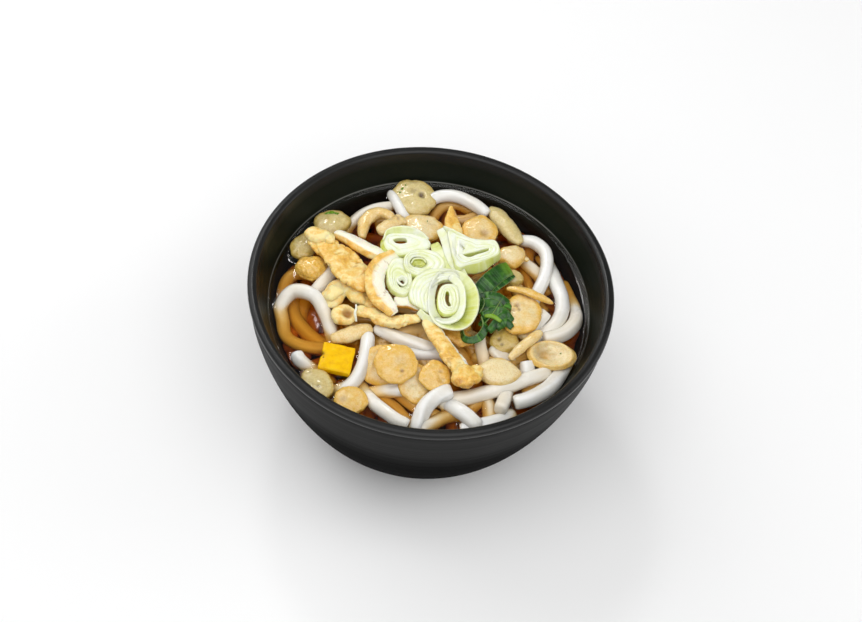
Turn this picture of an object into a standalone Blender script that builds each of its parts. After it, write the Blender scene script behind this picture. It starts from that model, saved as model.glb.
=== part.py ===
"""Udon noodle bowl: a thick-walled black bowl filled with broth and a heap of udon,
topped with fried batter bits, fried tofu strips, sliced long onion, leek greens and a
yellow square.

Frame: +Z up, origin on the table under the centre of the foot. -Y is the front.
All the driving sizes below are in millimetres; MM turns them into metres.
"""
import math
import bpy
import bmesh
import numpy as np
from mathutils import Vector

MM = 0.001

# ---------------------------------------------------------------- driving sizes (mm)
BOWL_HEIGHT = 80.0          # foot to lip
RIM_RADIUS = 75.0           # outside of the lip
FOOT_RADIUS = 36.0          # outside of the foot ring
FOOT_RING = 4.5             # width of the flat ring the bowl stands on
FOOT_RECESS = 2.6           # depth of the hollow inside the foot ring
BELLY_P, BELLY_Q = 1.55, 1.56   # fullness of the outer curve
LIP_WALL = 3.9              # wall just under the lip
SIDE_WALL = 7.0             # wall at the broth line and below
FLOOR_Z = 10.0              # inside floor above the table
LEVEL = 64.5                # broth surface above the table
GAP = 0.3                   # clearance between touching pieces
STEPS = 34                  # facets round the bowl, the heap and the broth

HEAP_EDGE_CLEAR = 1.2       # noodle heap to bowl wall
HEAP_SUNK = 3.4             # the heap's quiet parts lie this far under the broth

# ---------------------------------------------------------------- scene clean-up
for ob in list(bpy.data.objects):
    bpy.data.objects.remove(ob, do_unlink=True)


def collection(name):
    col = bpy.data.collections.new(name)
    bpy.context.scene.collection.children.link(col)
    return col


PARTS = collection("udon_noodle_bowl")
CUTTERS = collection("cutters")


# ---------------------------------------------------------------- materials
def material(name, colour, rough, metal=0.0, transmission=0.0):
    mat = bpy.data.materials.new(name)
    mat.use_nodes = True
    bsdf = mat.node_tree.nodes["Principled BSDF"]
    bsdf.inputs["Base Color"].default_value = (*colour, 1.0)
    bsdf.inputs["Roughness"].default_value = rough
    bsdf.inputs["Metallic"].default_value = metal
    bsdf.inputs["Transmission Weight"].default_value = transmission
    mat.diffuse_color = (*colour, 1.0)
    return mat


MAT = {
    "bowl": material("black_bowl", (0.012, 0.014, 0.013), 0.36),
    "noodles": material("udon", (0.83, 0.76, 0.62), 0.32),
    "broth": material("amber_broth", (0.40, 0.13, 0.012), 0.05),
    "batter": material("fried_batter", (0.72, 0.46, 0.20), 0.55),
    "batter_pale": material("soaked_batter", (0.52, 0.42, 0.22), 0.45),
    "tofu": material("fried_tofu", (0.80, 0.47, 0.13), 0.55),
    "onion": material("long_onion", (0.72, 0.82, 0.42), 0.30),
    "leaf": material("onion_green", (0.02, 0.12, 0.03), 0.30),
    "yellow": material("yellow_square", (0.90, 0.60, 0.005), 0.40),
}


# ---------------------------------------------------------------- small geometry tools
def add_object(name, mesh, mat, col=None):
    ob = bpy.data.objects.new(name, mesh)
    (col or PARTS).objects.link(ob)
    mesh.materials.clear()
    mesh.materials.append(MAT[mat])
    return ob


def applied(ob):
    """A plain mesh of the object as its modifiers leave it; the object itself goes."""
    dg = bpy.context.evaluated_depsgraph_get()
    mesh = bpy.data.meshes.new_from_object(ob.evaluated_get(dg))
    bpy.data.objects.remove(ob, do_unlink=True)
    return mesh


def turned(name, profile, steps):
    """Screw a profile of (radius, height) pairs, running down the outer side."""
    mesh = bpy.data.meshes.new(name)
    bm = bmesh.new()
    vs = [bm.verts.new((r * MM, 0.0, z * MM)) for r, z in profile]
    for a, b in zip(vs[:-1], vs[1:]):
        bm.edges.new((a, b))
    bm.to_mesh(mesh)
    bm.free()
    ob = bpy.data.objects.new(name, mesh)
    PARTS.objects.link(ob)
    mod = ob.modifiers.new("turn", "SCREW")
    mod.axis = "Z"
    mod.angle = 2.0 * math.pi
    mod.steps = steps
    mod.render_steps = steps
    mod.use_merge_vertices = True
    mod.merge_threshold = 0.00001
    mod.use_smooth_shade = True
    return applied(ob)


def smoothstep(t):
    t = min(1.0, max(0.0, t))
    return t * t * (3.0 - 2.0 * t)


def outer_radius(z):
    t = min(1.0, max(0.0, z / BOWL_HEIGHT))
    return FOOT_RADIUS + (RIM_RADIUS - FOOT_RADIUS) * (1.0 - (1.0 - t) ** BELLY_P) ** (1.0 / BELLY_Q)


def wall(z):
    return LIP_WALL + (SIDE_WALL - LIP_WALL) * smoothstep((BOWL_HEIGHT - 1.0 - z) / 15.5)


INNER_LOW = 34.0            # below this height the inside curves in to the floor


def inner_radius(z):
    """Inside radius of the bowl at a height; it closes on the floor as an ellipse."""
    if z >= INNER_LOW:
        return outer_radius(z) - wall(z)
    k = (INNER_LOW - z) / (INNER_LOW - FLOOR_Z)
    return (outer_radius(INNER_LOW) - wall(INNER_LOW)) * math.sqrt(max(0.0, 1.0 - k ** 2.4))


# heights at which the inside of the bowl is drawn, bottom to top
INNER_STATIONS = (10.4, 13.5, 20.0, 34.0, 46.0, 57.0, 65.0, 72.0, 77.0)


# ---------------------------------------------------------------- bowl
def make_bowl():
    top = BOWL_HEIGHT
    prof = [(0.0, FLOOR_Z)]
    for z in INNER_STATIONS:
        prof.append((inner_radius(z), z))
    # rounded lip with a small bead on the outside
    lip_in = inner_radius(78.6)
    for a in (180, 125, 60, 0):
        ar = math.radians(a)
        half = (RIM_RADIUS - lip_in) / 2.0
        prof.append((lip_in + half + half * math.cos(ar), top - 1.5 + 1.5 * math.sin(ar)
                     / math.sin(math.radians(60))))
    prof.append((RIM_RADIUS, top - 2.4))
    prof.append((RIM_RADIUS - 0.75, top - 3.3))
    for z in (72.0, 60.0, 45.0, 30.0, 15.0, 4.5):
        prof.append((outer_radius(z) - (0.25 if z > 70 else 0.0), z))
    prof.append((FOOT_RADIUS - 0.4, 0.0))
    prof.append((FOOT_RADIUS - 0.4 - FOOT_RING, 0.0))
    prof.append((FOOT_RADIUS - 1.6 - FOOT_RING, FOOT_RECESS))
    prof.append((0.0, FOOT_RECESS))
    return add_object("bowl", turned("bowl", prof, STEPS), "bowl")


# ---------------------------------------------------------------- toppings: shape rules
def ball(nu, nv, rule, name):
    """A UV sphere whose every vertex is moved by rule(lon, lat) -> (x, y, z) in mm."""
    mesh = bpy.data.meshes.new(name)
    bm = bmesh.new()
    bmesh.ops.create_uvsphere(bm, u_segments=nu, v_segments=nv, radius=1.0)
    for v in bm.verts:
        lat = math.asin(max(-1.0, min(1.0, v.co.z)))
        lon = math.atan2(v.co.y, v.co.x)
        v.co = Vector(rule(lon, lat)) * MM
    bmesh.ops.triangulate(bm, faces=bm.faces[:])
    bm.normal_update()
    if bm.calc_volume(signed=True) < 0.0:
        bmesh.ops.reverse_faces(bm, faces=bm.faces[:])
    bm.to_mesh(mesh)
    bm.free()
    for p in mesh.polygons:
        p.use_smooth = True
    return mesh


def spow(v, e):
    return math.copysign(abs(v) ** e, v)


def rotate(p, yaw, tx, ty):
    """Tilt about x, then about y, then turn about z; degrees."""
    x, y, z = p
    a = math.radians(tx)
    y, z = y * math.cos(a) - z * math.sin(a), y * math.sin(a) + z * math.cos(a)
    a = math.radians(ty)
    x, z = x * math.cos(a) + z * math.sin(a), -x * math.sin(a) + z * math.cos(a)
    a = math.radians(yaw)
    return (x * math.cos(a) - y * math.sin(a), x * math.sin(a) + y * math.cos(a), z)


def outline(lon, wob, seed):
    return 1.0 + wob * (0.6 * math.cos(2 * lon + 1.7 * seed) + 0.5 * math.cos(3 * lon + 2.9 * seed)
                        + 0.35 * math.cos(5 * lon + 0.7 * seed))


def puff(a, b, h, yaw=0.0, tx=0.0, ty=0.0, wob=0.06, seed=1, pit=None, cup=0.0, flat=0.75,
         taper=0.0, nu=10, nv=7, grow=0.0):
    """A fried batter drop: a fat disc with an uneven edge, maybe cupped or with a pit.

    pit = (x, y, radius, depth) on the top side; taper narrows one end to a point.
    """
    def rule(lon, lat):
        c, s = math.cos(lat), math.sin(lat)
        o = outline(lon, wob, seed)
        rr = abs(c) ** flat
        x = a * rr * math.cos(lon) * o
        y = b * rr * math.sin(lon) * o
        if taper:
            y *= 1.0 - taper * (x / a) ** 2
        z = h * spow(s, 0.85)
        if pit and s > 0.0:
            d2 = ((x - pit[0]) ** 2 + (y - pit[1]) ** 2) / pit[2] ** 2
            z -= pit[3] * math.exp(-d2) * min(1.0, 2.0 * s)
        z += cup * ((x / a) ** 2 + (y / b) ** 2)
        n = math.hypot(x / a, y / b, z / h) or 1.0
        g = grow / n
        return rotate((x + g * x / a, y + g * y / b, z + g * z / h), yaw, tx, ty)
    return (nu, nv, rule)


def route(points):
    """A smooth line through the points: returns f(t) for t in 0..1 and its tangent."""
    pts = [np.array(p, float) for p in points]
    pts = [2 * pts[0] - pts[1]] + pts + [2 * pts[-1] - pts[-2]]
    n = len(pts) - 3

    def at(t):
        s = min(max(t, 0.0), 1.0) * n
        i = min(int(s), n - 1)
        u = s - i
        p0, p1, p2, p3 = pts[i:i + 4]
        return 0.5 * ((2 * p1) + (p2 - p0) * u + (2 * p0 - 5 * p1 + 4 * p2 - p3) * u * u
                      + (3 * p1 - p0 - 3 * p2 + p3) * u ** 3)

    def along(t):
        e = 0.01
        d = at(min(1.0, t + e)) - at(max(0.0, t - e))
        return d / (np.linalg.norm(d) or 1.0)
    return at, along


def blend_list(vals, t):
    if not isinstance(vals, (list, tuple)):
        return vals
    s = t * (len(vals) - 1)
    i = min(int(s), len(vals) - 2)
    return vals[i] + (vals[i + 1] - vals[i]) * (s - i)


def strip(points, w, h, roll=0.0, blunt=4.0, box=1.0, nu=8, nv=9, lump=0.0, seed=1, grow=0.0):
    """A bar swept along a route. w and h are half width and half thickness (one value or
    a list from end to end), roll turns the section, blunt squares off the ends, box < 1
    squares off the section, lump makes it knobbly."""
    at, along = route(points)

    def rule(lon, lat):
        t = lat / math.pi + 0.5
        k = abs(2.0 * t - 1.0)
        end = max(0.0, 1.0 - k ** blunt) ** (1.0 / blunt)
        tan = along(t)
        side = np.cross(tan, (0.0, 0.0, 1.0))
        side = side / (np.linalg.norm(side) or 1.0)
        up = np.cross(side, tan)
        r = math.radians(blend_list(roll, t))
        cs, cu = spow(math.cos(lon), box), spow(math.sin(lon), box)
        wo = 1.0 + lump * math.sin(9.0 * t + 2.1 * seed + 2.0 * lon) + lump * math.cos(15.0 * t + seed)
        ww = (blend_list(w, t) * wo + grow) * end * cs
        hh = (blend_list(h, t) * wo + grow) * end * cu
        off = side * (ww * math.cos(r) - hh * math.sin(r)) + up * (ww * math.sin(r) + hh * math.cos(r))
        reach = grow * (1 if t > 0.5 else -1) if k > 0.999 else 0.0
        return tuple(at(t) + off + tan * reach)
    return (nu, nv, rule)


def ring_mesh(name, ra, rb, wide, high, yaw, tx, ty, wave, seed, pinch=0.0, nmaj=13, nmin=5, grow=0.0):
    """A slice of long onion: an oval ring, cut from a torus, with a squared section."""
    bpy.ops.mesh.primitive_torus_add(major_segments=nmaj, minor_segments=nmin,
                                     major_radius=1.0, minor_radius=0.3)
    ob = bpy.context.active_object
    mesh = ob.data
    mesh.name = name
    bm = bmesh.new()
    bm.from_mesh(mesh)
    for v in bm.verts:
        lon = math.atan2(v.co.y, v.co.x)
        u = (math.hypot(v.co.x, v.co.y) - 1.0) / 0.3
        s = v.co.z / 0.3
        u, s = spow(u, 0.7), spow(s, 0.7)
        q = 1.0 + wave * math.cos(3 * lon + seed)
        p = 1.0 - pinch * abs(math.sin(lon)) ** 2
        x = (ra * q + u * (wide / 2.0 + grow)) * math.cos(lon)
        y = (rb * q * p + u * (wide / 2.0 + grow)) * math.sin(lon)
        z = s * (high / 2.0 + grow) + wave * 6.0 * math.cos(2 * lon + 2.0 * seed)
        v.co = Vector(rotate((x, y, z), yaw, tx, ty)) * MM
    bmesh.ops.triangulate(bm, faces=bm.faces[:])
    bm.normal_update()
    if bm.calc_volume(signed=True) < 0.0:
        bmesh.ops.reverse_faces(bm, faces=bm.faces[:])
    bm.to_mesh(mesh)
    bm.free()
    bpy.data.objects.remove(ob, do_unlink=True)
    for p in mesh.polygons:
        p.use_smooth = True
    return mesh


def square_mesh(name, side_x, side_y, thick, yaw, tx, ty, grow=0.0):
    """The yellow square: a slab with slightly softened edges."""
    mesh = bpy.data.meshes.new(name)
    bm = bmesh.new()
    bmesh.ops.create_cube(bm, size=1.0)
    for v in bm.verts:
        v.co = Vector((v.co.x * (side_x + 2 * grow), v.co.y * (side_y + 2 * grow),
                       v.co.z * (thick + 2 * grow)))
    bmesh.ops.bevel(bm, geom=bm.edges[:] + bm.verts[:], offset=0.6, segments=1, affect="EDGES",
                    profile=0.5)
    for v in bm.verts:
        v.co = Vector(rotate(v.co, yaw, tx, ty)) * MM
    bmesh.ops.triangulate(bm, faces=bm.faces[:])
    bm.to_mesh(mesh)
    bm.free()
    return mesh


# ---------------------------------------------------------------- toppings: the table
# Each row: name, material, kind, middle (or route) in mm, shape arguments. Rows run from
# the lowest piece to the top one; each is lifted until it clears the ones before it.
TOPPINGS = [
    ("batter_bit_01", "batter_pale", "puff", (-12.1, 55.1, 67.0),
     dict(a=8.9, b=8.4, h=2.6, yaw=-12, tx=6, wob=.03, seed=1, pit=(1.2, 2.0, 2.0, 2.6))),
    ("batter_bit_02", "batter_pale", "puff", (-45.2, 36.4, 66.0),
     dict(a=7.7, b=5.9, h=2.7, yaw=20, wob=.05, seed=2)),
    ("batter_bit_03", "batter_pale", "puff", (-55.2, 22.2, 65.8),
     dict(a=5.1, b=6.7, h=2.6, yaw=-15, wob=.05, seed=3)),
    ("batter_bit_04", "batter", "puff", (-50.4, 9.6, 67.6),
     dict(a=6.2, b=5.3, h=4.0, yaw=20, wob=.07, seed=4, flat=1.0)),
    ("yellow_square", "yellow", "square", (-34.3, -34.6, 66.6),
     dict(side_x=13.0, side_y=12.2, thick=3.2, yaw=-4, tx=5, ty=2)),
    ("batter_bit_24", "batter_pale", "puff", (-41.0, -47.3, 65.6),
     dict(a=6.5, b=4.2, h=2.0, yaw=-40, wob=.04, seed=5)),
    ("batter_bit_25", "batter_pale", "puff", (-26.2, -53.5, 66.2),
     dict(a=6.5, b=5.8, h=2.6, yaw=-18, wob=.04, seed=6)),
    ("batter_bit_09", "batter_pale", "strip", [(21.3, 54.7, 66.8), (28.2, 45.6, 67.2), (35.0, 37.4, 67.0)],
     dict(w=[3.1, 3.7, 3.4], h=[2.5, 2.9, 2.6], blunt=3.0, lump=.03, nv=8)),
    ("batter_bit_11", "batter_pale", "puff", (33.4, 17.7, 67.4),
     dict(a=3.7, b=3.8, h=2.6, wob=.03, seed=11, nu=10, nv=6)),
    ("batter_bit_10", "batter", "puff", (31.7, 28.1, 68.6),
     dict(a=5.7, b=5.0, h=3.0, yaw=10, wob=.06, seed=10)),
    ("batter_bit_07", "batter", "puff", (17.3, 39.1, 69.6),
     dict(a=6.9, b=7.1, h=2.5, yaw=0, tx=8, wob=.04, seed=7, pit=(1.2, -1.1, 2.2, 0.9))),
    ("batter_bit_05", "batter", "strip", [(-31.1, 28.2, 68.6), (-31.2, 36.0, 69.2), (-27.6, 41.1, 69.4), (-23.3, 41.6, 69.4), (-19.6, 39.0, 69.2)],
     dict(w=2.4, h=2.2, blunt=3.0, lump=.04, nv=9)),
    ("batter_bit_08", "batter", "puff", (-6.6, 36.5, 70.0),
     dict(a=7.9, b=6.2, h=2.6, yaw=-6, wob=.06, seed=8)),
    ("batter_bit_06", "batter", "strip", [(-25.5, 30.2, 70.6), (-21.6, 32.7, 71.0), (-18.2, 36.2, 71.4), (-16.3, 38.8, 71.4)],
     dict(w=[2.8, 3.1, 3.0], h=[2.3, 2.2, 2.1], blunt=3.0, lump=.07, seed=6, nv=8)),
    ("tofu_strip_08", "tofu", "strip", [(4.6, 47.6, 71.6), (5.7, 40.7, 71.4), (7.3, 33.3, 70.6)],
     dict(w=[0.9, 2.8, 4.0], h=[1.2, 1.7, 1.9], roll=14, blunt=5.0, box=.6, nv=7)),
    ("batter_bit_17", "batter", "puff", (32.3, -15.0, 66.8),
     dict(a=6.2, b=5.0, h=2.3, yaw=-32, tx=10, wob=.09, seed=17, taper=.35)),
    ("batter_bit_18", "batter", "strip", [(35.6, -8.4, 66.2), (39.3, -11.1, 66.4), (42.9, -9.8, 66.8)],
     dict(w=1.9, h=1.9, blunt=3.0, lump=.05, nv=7, nu=7)),
    ("batter_bit_13", "batter", "puff", (38.5, -3.2, 70.8),
     dict(a=6.5, b=8.2, h=2.8, yaw=-8, wob=.10, seed=13, pit=(-2.4, 1.0, 2.6, 1.4))),
    ("batter_bit_12", "batter", "strip", [(31.2, 6.9, 71.6), (37.4, 6.6, 72.2), (43.8, 5.0, 71.8), (50.1, 3.1, 70.4)],
     dict(w=1.5, h=1.3, roll=[50, 30, 20], blunt=3.0, nv=8, nu=7)),
    ("batter_bit_15", "batter", "puff", (51.7, -20.6, 67.4),
     dict(a=9.3, b=6.4, h=2.0, yaw=2, tx=4, wob=.03, seed=15, cup=1.2, pit=(-2.6, 0.8, 3.0, 1.6), nu=12)),
    ("batter_bit_16", "batter", "puff", (30.8, -32.8, 69.0),
     dict(a=8.5, b=5.9, h=2.8, yaw=4, tx=6, wob=.02, seed=16, taper=.5)),
    ("batter_bit_14", "batter", "strip", [(35.1, -25.6, 69.0), (40.4, -18.9, 70.2), (46.3, -12.2, 71.0)],
     dict(w=1.9, h=1.8, blunt=3.5, lump=.03, nv=8, nu=7)),
    ("batter_bit_23", "batter_pale", "strip", [(-37.4, -24.6, 66.8), (-30.0, -21.6, 67.4), (-22.3, -17.5, 68.0)],
     dict(w=[2.9, 3.2, 3.0], h=[2.5, 2.7, 2.5], blunt=3.0, nv=8)),
    ("batter_bit_20", "batter", "puff", (-16.5, -35.2, 66.8),
     dict(a=7.2, b=8.0, h=1.9, yaw=-10, tx=26, wob=.03, seed=20)),
    ("batter_bit_21", "batter", "puff", (-1.7, -41.9, 66.8),
     dict(a=5.4, b=7.0, h=1.9, yaw=22, tx=20, ty=6, wob=.04, seed=21)),
    ("batter_bit_22", "batter", "puff", (5.8, -39.2, 70.2),
     dict(a=5.5, b=5.8, h=1.7, yaw=0, tx=18, ty=8, wob=.05, seed=22)),
    ("batter_bit_19", "batter", "puff", (-10.4, -37.4, 72.8),
     dict(a=7.8, b=8.0, h=1.8, yaw=0, tx=18, wob=.03, seed=19, pit=(2.6, 0.6, 2.2, 0.7))),
    ("tofu_strip_07", "tofu", "puff", (-33.4, -16.2, 69.0),
     dict(a=4.8, b=4.2, h=2.4, yaw=15, tx=8, wob=.06, seed=26, pit=(1.2, -0.2, 1.7, 1.9), nu=10, nv=7)),
    ("tofu_strip_04", "tofu", "strip", [(-38.8, -7.6, 68.2), (-36.4, -0.8, 69.4), (-30.6, -0.6, 69.6), (-23.4, -5.5, 68.6)],
     dict(w=[2.8, 3.6, 3.4, 2.6], h=[1.8, 2.2, 2.1, 1.6], roll=12, blunt=4.0, lump=.05, seed=4)),
    ("tofu_strip_01", "tofu", "strip", [(-50.6, 22.8, 70.6), (-40.9, 13.9, 72.2), (-33.7, 6.1, 72.6), (-25.4, 0.4, 71.4)],
     dict(w=[4.8, 4.2, 5.0, 4.4], h=[2.0, 1.7, 1.8, 1.6], roll=[6, 10, 14], blunt=5.0, box=.7, lump=.04, nv=9)),
    ("tofu_strip_02", "tofu", "strip", [(-41.6, 26.9, 70.8), (-31.2, 20.6, 72.4), (-20.2, 15.6, 73.4)],
     dict(w=[2.3, 2.5, 2.2], h=[2.0, 2.3, 2.0], roll=30, blunt=5.0, box=.6, lump=.03, nv=8)),
    ("tofu_strip_05", "tofu", "strip", [(-27.9, -13.5, 71.0), (-21.4, -13.2, 71.6), (-15.0, -15.3, 71.6), (-9.5, -13.0, 71.8), (-4.2, -13.0, 72.2)],
     dict(w=[2.4, 2.8, 3.0, 2.8, 2.4], h=[1.6, 1.8, 1.7, 1.8, 1.6], roll=18, blunt=5.0, box=.7, lump=.04, nv=10)),
    ("tofu_strip_09", "tofu", "strip", [(7.0, -16.5, 69.0), (12.4, -17.9, 69.2), (18.0, -19.3, 68.2)],
     dict(w=[2.6, 3.0, 2.6], h=[1.7, 1.8, 1.6], blunt=4.0, lump=.06, nv=7, nu=7)),
    ("tofu_strip_06", "tofu", "strip", [(-1.5, -15.0, 74.0), (4.3, -23.3, 74.8), (11.2, -31.0, 74.4), (18.1, -40.1, 73.4)],
     dict(w=[2.2, 3.4, 3.8, 5.8], h=[1.6, 1.9, 2.0, 2.6], roll=[10, 14, 10], blunt=5.0, box=.75, lump=.05, seed=3, nv=10)),
    ("tofu_strip_10", "tofu", "strip", [(-13.1, -7.3, 72.4), (-8.7, -6.4, 72.8), (-4.0, -7.6, 72.6)],
     dict(w=[2.2, 2.4, 2.2], h=[1.5, 1.6, 1.5], roll=-10, blunt=5.0, box=.7, nv=7, nu=7)),
    ("tofu_strip_03", "tofu", "strip", [(-18.6, 16.6, 73.2), (-23.6, 8.2, 74.6), (-24.0, 1.0, 75.0), (-20.7, -6.2, 74.8), (-14.4, -11.3, 74.0)],
     dict(w=[2.6, 3.3, 3.7, 3.4, 2.2], h=[1.5, 2.0, 2.1, 1.9, 1.5], roll=[20, 16, 8, 0, -8], blunt=4.5, box=.65, nv=10)),
    ("onion_green_3", "leaf", "strip", [(15.1, -11.8, 72.6), (16.6, -17.3, 72.4), (20.7, -18.1, 72.6), (23.0, -13.8, 72.8)],
     dict(w=[0.9, 1.1, 1.1, 0.9], h=[1.4, 1.6, 1.6, 1.4], blunt=5.0, nv=9, nu=6)),
    ("onion_green_2", "leaf", "strip", [(24.5, -13.0, 72.0), (26.7, -7.1, 73.6), (28.2, 0.2, 73.8)],
     dict(w=[3.6, 6.0, 5.0], h=[1.1, 1.7, 1.5], roll=8, blunt=5.0, box=.8, lump=.10, seed=2, nv=8)),
    ("onion_green_1", "leaf", "strip", [(20.5, 5.3, 71.8), (25.0, 10.3, 73.0), (30.5, 15.3, 72.6)],
     dict(w=[4.2, 4.6, 4.0], h=[1.2, 1.5, 1.2], roll=-16, blunt=6.0, box=.7, lump=.05, seed=5, nv=8)),
    ("onion_slice_3", "onion", "ring", (-6.9, 6.6, 75.4),
     dict(ra=7.2, rb=7.4, wide=3.6, high=2.4, yaw=-10, tx=6, ty=-4, wave=0.03, seed=3, nmaj=13, nmin=5)),
    ("onion_slice_1", "onion", "ring", (-12.3, 22.9, 75.0),
     dict(ra=8.4, rb=4.6, wide=3.2, high=2.4, yaw=4, tx=10, ty=4, wave=.04, seed=1, nmaj=13, nmin=5)),
    ("onion_slice_4", "onion", "ring", (8.6, -4.1, 75.4),
     dict(ra=6.3, rb=11.0, wide=4.0, high=2.4, yaw=-4, tx=4, ty=4, wave=.03, seed=5, nmaj=13, nmin=5)),
    ("onion_slice_2", "onion", "ring", (13.0, 19.3, 77.4),
     dict(ra=9.4, rb=6.0, wide=4.0, high=2.4, yaw=-38, tx=2, ty=4, wave=.04, seed=2, nmaj=13, nmin=5)),
]

# ---------------------------------------------------------------- settling the toppings
CELL = 0.5
HALF = 80.0
NCELL = int(2 * HALF / CELL)
NUDGE = 3                   # a piece may give way sideways by this many cells
NUDGE_COST = 0.8


def surface_samples(verts, tris):
    """Points spread over the triangles, closer together than a cell."""
    out = []
    for a, b, c in tris:
        p, q, r = verts[a], verts[b], verts[c]
        n = int(max(np.linalg.norm(q - p), np.linalg.norm(r - q), np.linalg.norm(p - r)) / (0.8 * CELL)) + 1
        i, j = np.meshgrid(np.arange(n + 1), np.arange(n + 1))
        keep = (i + j) <= n
        u, v = i[keep] / n, j[keep] / n
        out.append(p + np.outer(u, q - p) + np.outer(v, r - p))
    return np.concatenate(out)


def mesh_arrays(mesh):
    verts = np.array([v.co[:] for v in mesh.vertices]) / MM
    tris = [tuple(p.vertices) for p in mesh.polygons]
    return verts, tris


def spread(grid, fn, steps=1):
    for _ in range(steps):
        pad = np.pad(grid, 1, mode="edge")
        stack = [pad[1 + i:1 + i + grid.shape[0], 1 + j:1 + j + grid.shape[1]]
                 for i in (-1, 0, 1) for j in (-1, 0, 1)]
        grid = fn(np.stack(stack), axis=0)
    return grid


def envelopes(verts, tris):
    pts = surface_samples(verts, tris)
    ix = ((pts[:, 0] + HALF) / CELL).astype(int)
    iy = ((pts[:, 1] + HALF) / CELL).astype(int)
    low = np.full((NCELL, NCELL), np.inf)
    top = np.full((NCELL, NCELL), -np.inf)
    np.minimum.at(low, (ix, iy), pts[:, 2])
    np.maximum.at(top, (ix, iy), pts[:, 2])
    return spread(low, np.min), spread(top, np.max)


def best_rest(low, top, reach=NUDGE):
    """Where a piece comes to rest: the least lift, with a sideways nudge of a few cells."""
    best = None
    for i in range(-reach, reach + 1):
        for j in range(-reach, reach + 1):
            far = math.hypot(i, j)
            if far > reach + 0.3:
                continue
            moved_low = np.roll(low, (i, j), (0, 1))
            both = np.isfinite(moved_low) & np.isfinite(top)
            lift = float((top[both] + GAP - moved_low[both]).max()) if both.any() else 0.0
            lift = max(0.0, lift)
            cost = lift + NUDGE_COST * far * CELL
            if best is None or cost < best[0] - 1e-9:
                best = (cost, i, j, lift)
    return best[1:]


def inside_wall(verts):
    """The move towards the axis that clears the bowl's wall by GAP."""
    rad = np.hypot(verts[:, 0], verts[:, 1])
    room = np.array([inner_radius(z) - GAP - 0.25 for z in verts[:, 2]])
    over = float((rad - room).max())
    if over <= 0.0:
        return np.zeros(3)
    c = verts.mean(axis=0)
    return -over * 1.02 * np.array([c[0], c[1], 0.0]) / (math.hypot(c[0], c[1]) or 1.0)


def build_topping(row, grow=0.0):
    name, mat, kind, at, args = row
    if kind == "puff":
        return ball(*puff(grow=grow, **args), name), np.array(at, float)
    if kind == "strip":
        mid = np.array(at, float).mean(axis=0)
        pts = [np.array(p, float) - mid for p in at]
        return ball(*strip(pts, grow=grow, **args), name), mid
    if kind == "ring":
        return ring_mesh(name, grow=grow, **args), np.array(at, float)
    return square_mesh(name, grow=grow, **args), np.array(at, float)


def moved(mesh, by):
    for v in mesh.vertices:
        v.co += Vector(by) * MM
    return mesh


def make_toppings():
    """Build each topping, keep it inside the wall and lift it clear of those below."""
    top = np.full((NCELL, NCELL), -np.inf)
    under = np.full((NCELL, NCELL), np.inf)
    places = []
    for row in TOPPINGS:
        mesh, mid = build_topping(row)
        moved(mesh, mid)
        verts, tris = mesh_arrays(mesh)
        shift = inside_wall(verts)
        verts = verts + shift
        low, high = envelopes(verts, tris)
        i, j, lift = best_rest(low, top)
        nudge = np.array([i * CELL, j * CELL, lift])
        if (inside_wall(verts + nudge) != 0.0).any():
            i, j, lift = best_rest(low, top, 0)
            nudge = np.array([0.0, 0.0, lift])
        low = np.roll(low, (i, j), (0, 1))
        high = np.roll(high, (i, j), (0, 1))
        shift = shift + nudge
        moved(mesh, shift)
        top = np.maximum(top, high + lift)
        under = np.minimum(under, low + lift)
        add_object(row[0], mesh, row[1])
        places.append((row, mid + shift, verts[:, 2].min() + lift))
    return places, under


# ---------------------------------------------------------------- noodle heap
# Strands that stand out of the heap: routes of their middle line, at the strand's height.
STRAND_R = 3.1
DEEP_CLEAR = 1.6            # heap to a topping that dips in the broth
STRANDS = [
    [(-58, -25, 62.0), (-62, -17, 65.2), (-62, -10, 67.4), (-55, -3, 68.4), (-47, -7, 68.0), (-42, -14, 66.0), (-39, -20, 62.5)],
    [(-3, 57, 67.0), (6, 58, 67.6), (14, 54, 67.4), (19, 51, 66.6)],
    [(36, 40, 63.5), (41, 40, 66.2), (47, 34, 67.4), (47, 24, 67.6), (44, 12, 66.8)],
    [(51, 20, 65.8), (55, 10, 66.6), (55, 2, 66.6), (51, -5, 66.4)],
    [(58, 14, 64.4), (62, 3, 66.2), (59, -6, 66.6), (53, -10, 66.6), (48, -11, 66.0)],
    [(14, -45, 66.2), (24, -41, 67.0), (33, -37, 67.4), (42, -32, 67.0), (51, -28, 66.0)],
    [(39, -45, 66.6), (47, -40, 66.8), (54, -33, 66.2), (58, -27, 63.5)],
    [(12, -44, 68.6), (7, -47, 68.0), (3, -53, 66.4), (2, -60, 64.0)],
    [(-18, -19, 67.4), (-11, -21, 68.0), (-4, -23, 68.4), (1, -24, 68.2)],
    [(-24, -22, 66.8), (-23, -28, 67.0), (-24, -36, 66.6), (-25, -43, 65.4), (-31, -45, 62.8)],
    [(12, -48, 64.0), (16, -52, 65.6), (23, -58, 66.4)],
    [(-20, -47, 63.4), (-13, -55, 65.4), (-7, -60, 65.8)],
    [(-21, 57, 65.6), (-18, 50, 66.6), (-16, 44, 66.8)],
]


def strand_samples():
    pts = []
    for route_points in STRANDS:
        at, _ = route(route_points)
        n = 8 * (len(route_points) - 1)
        pts += [at(i / n) for i in range(n + 1)]
    return np.array(pts)


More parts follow.
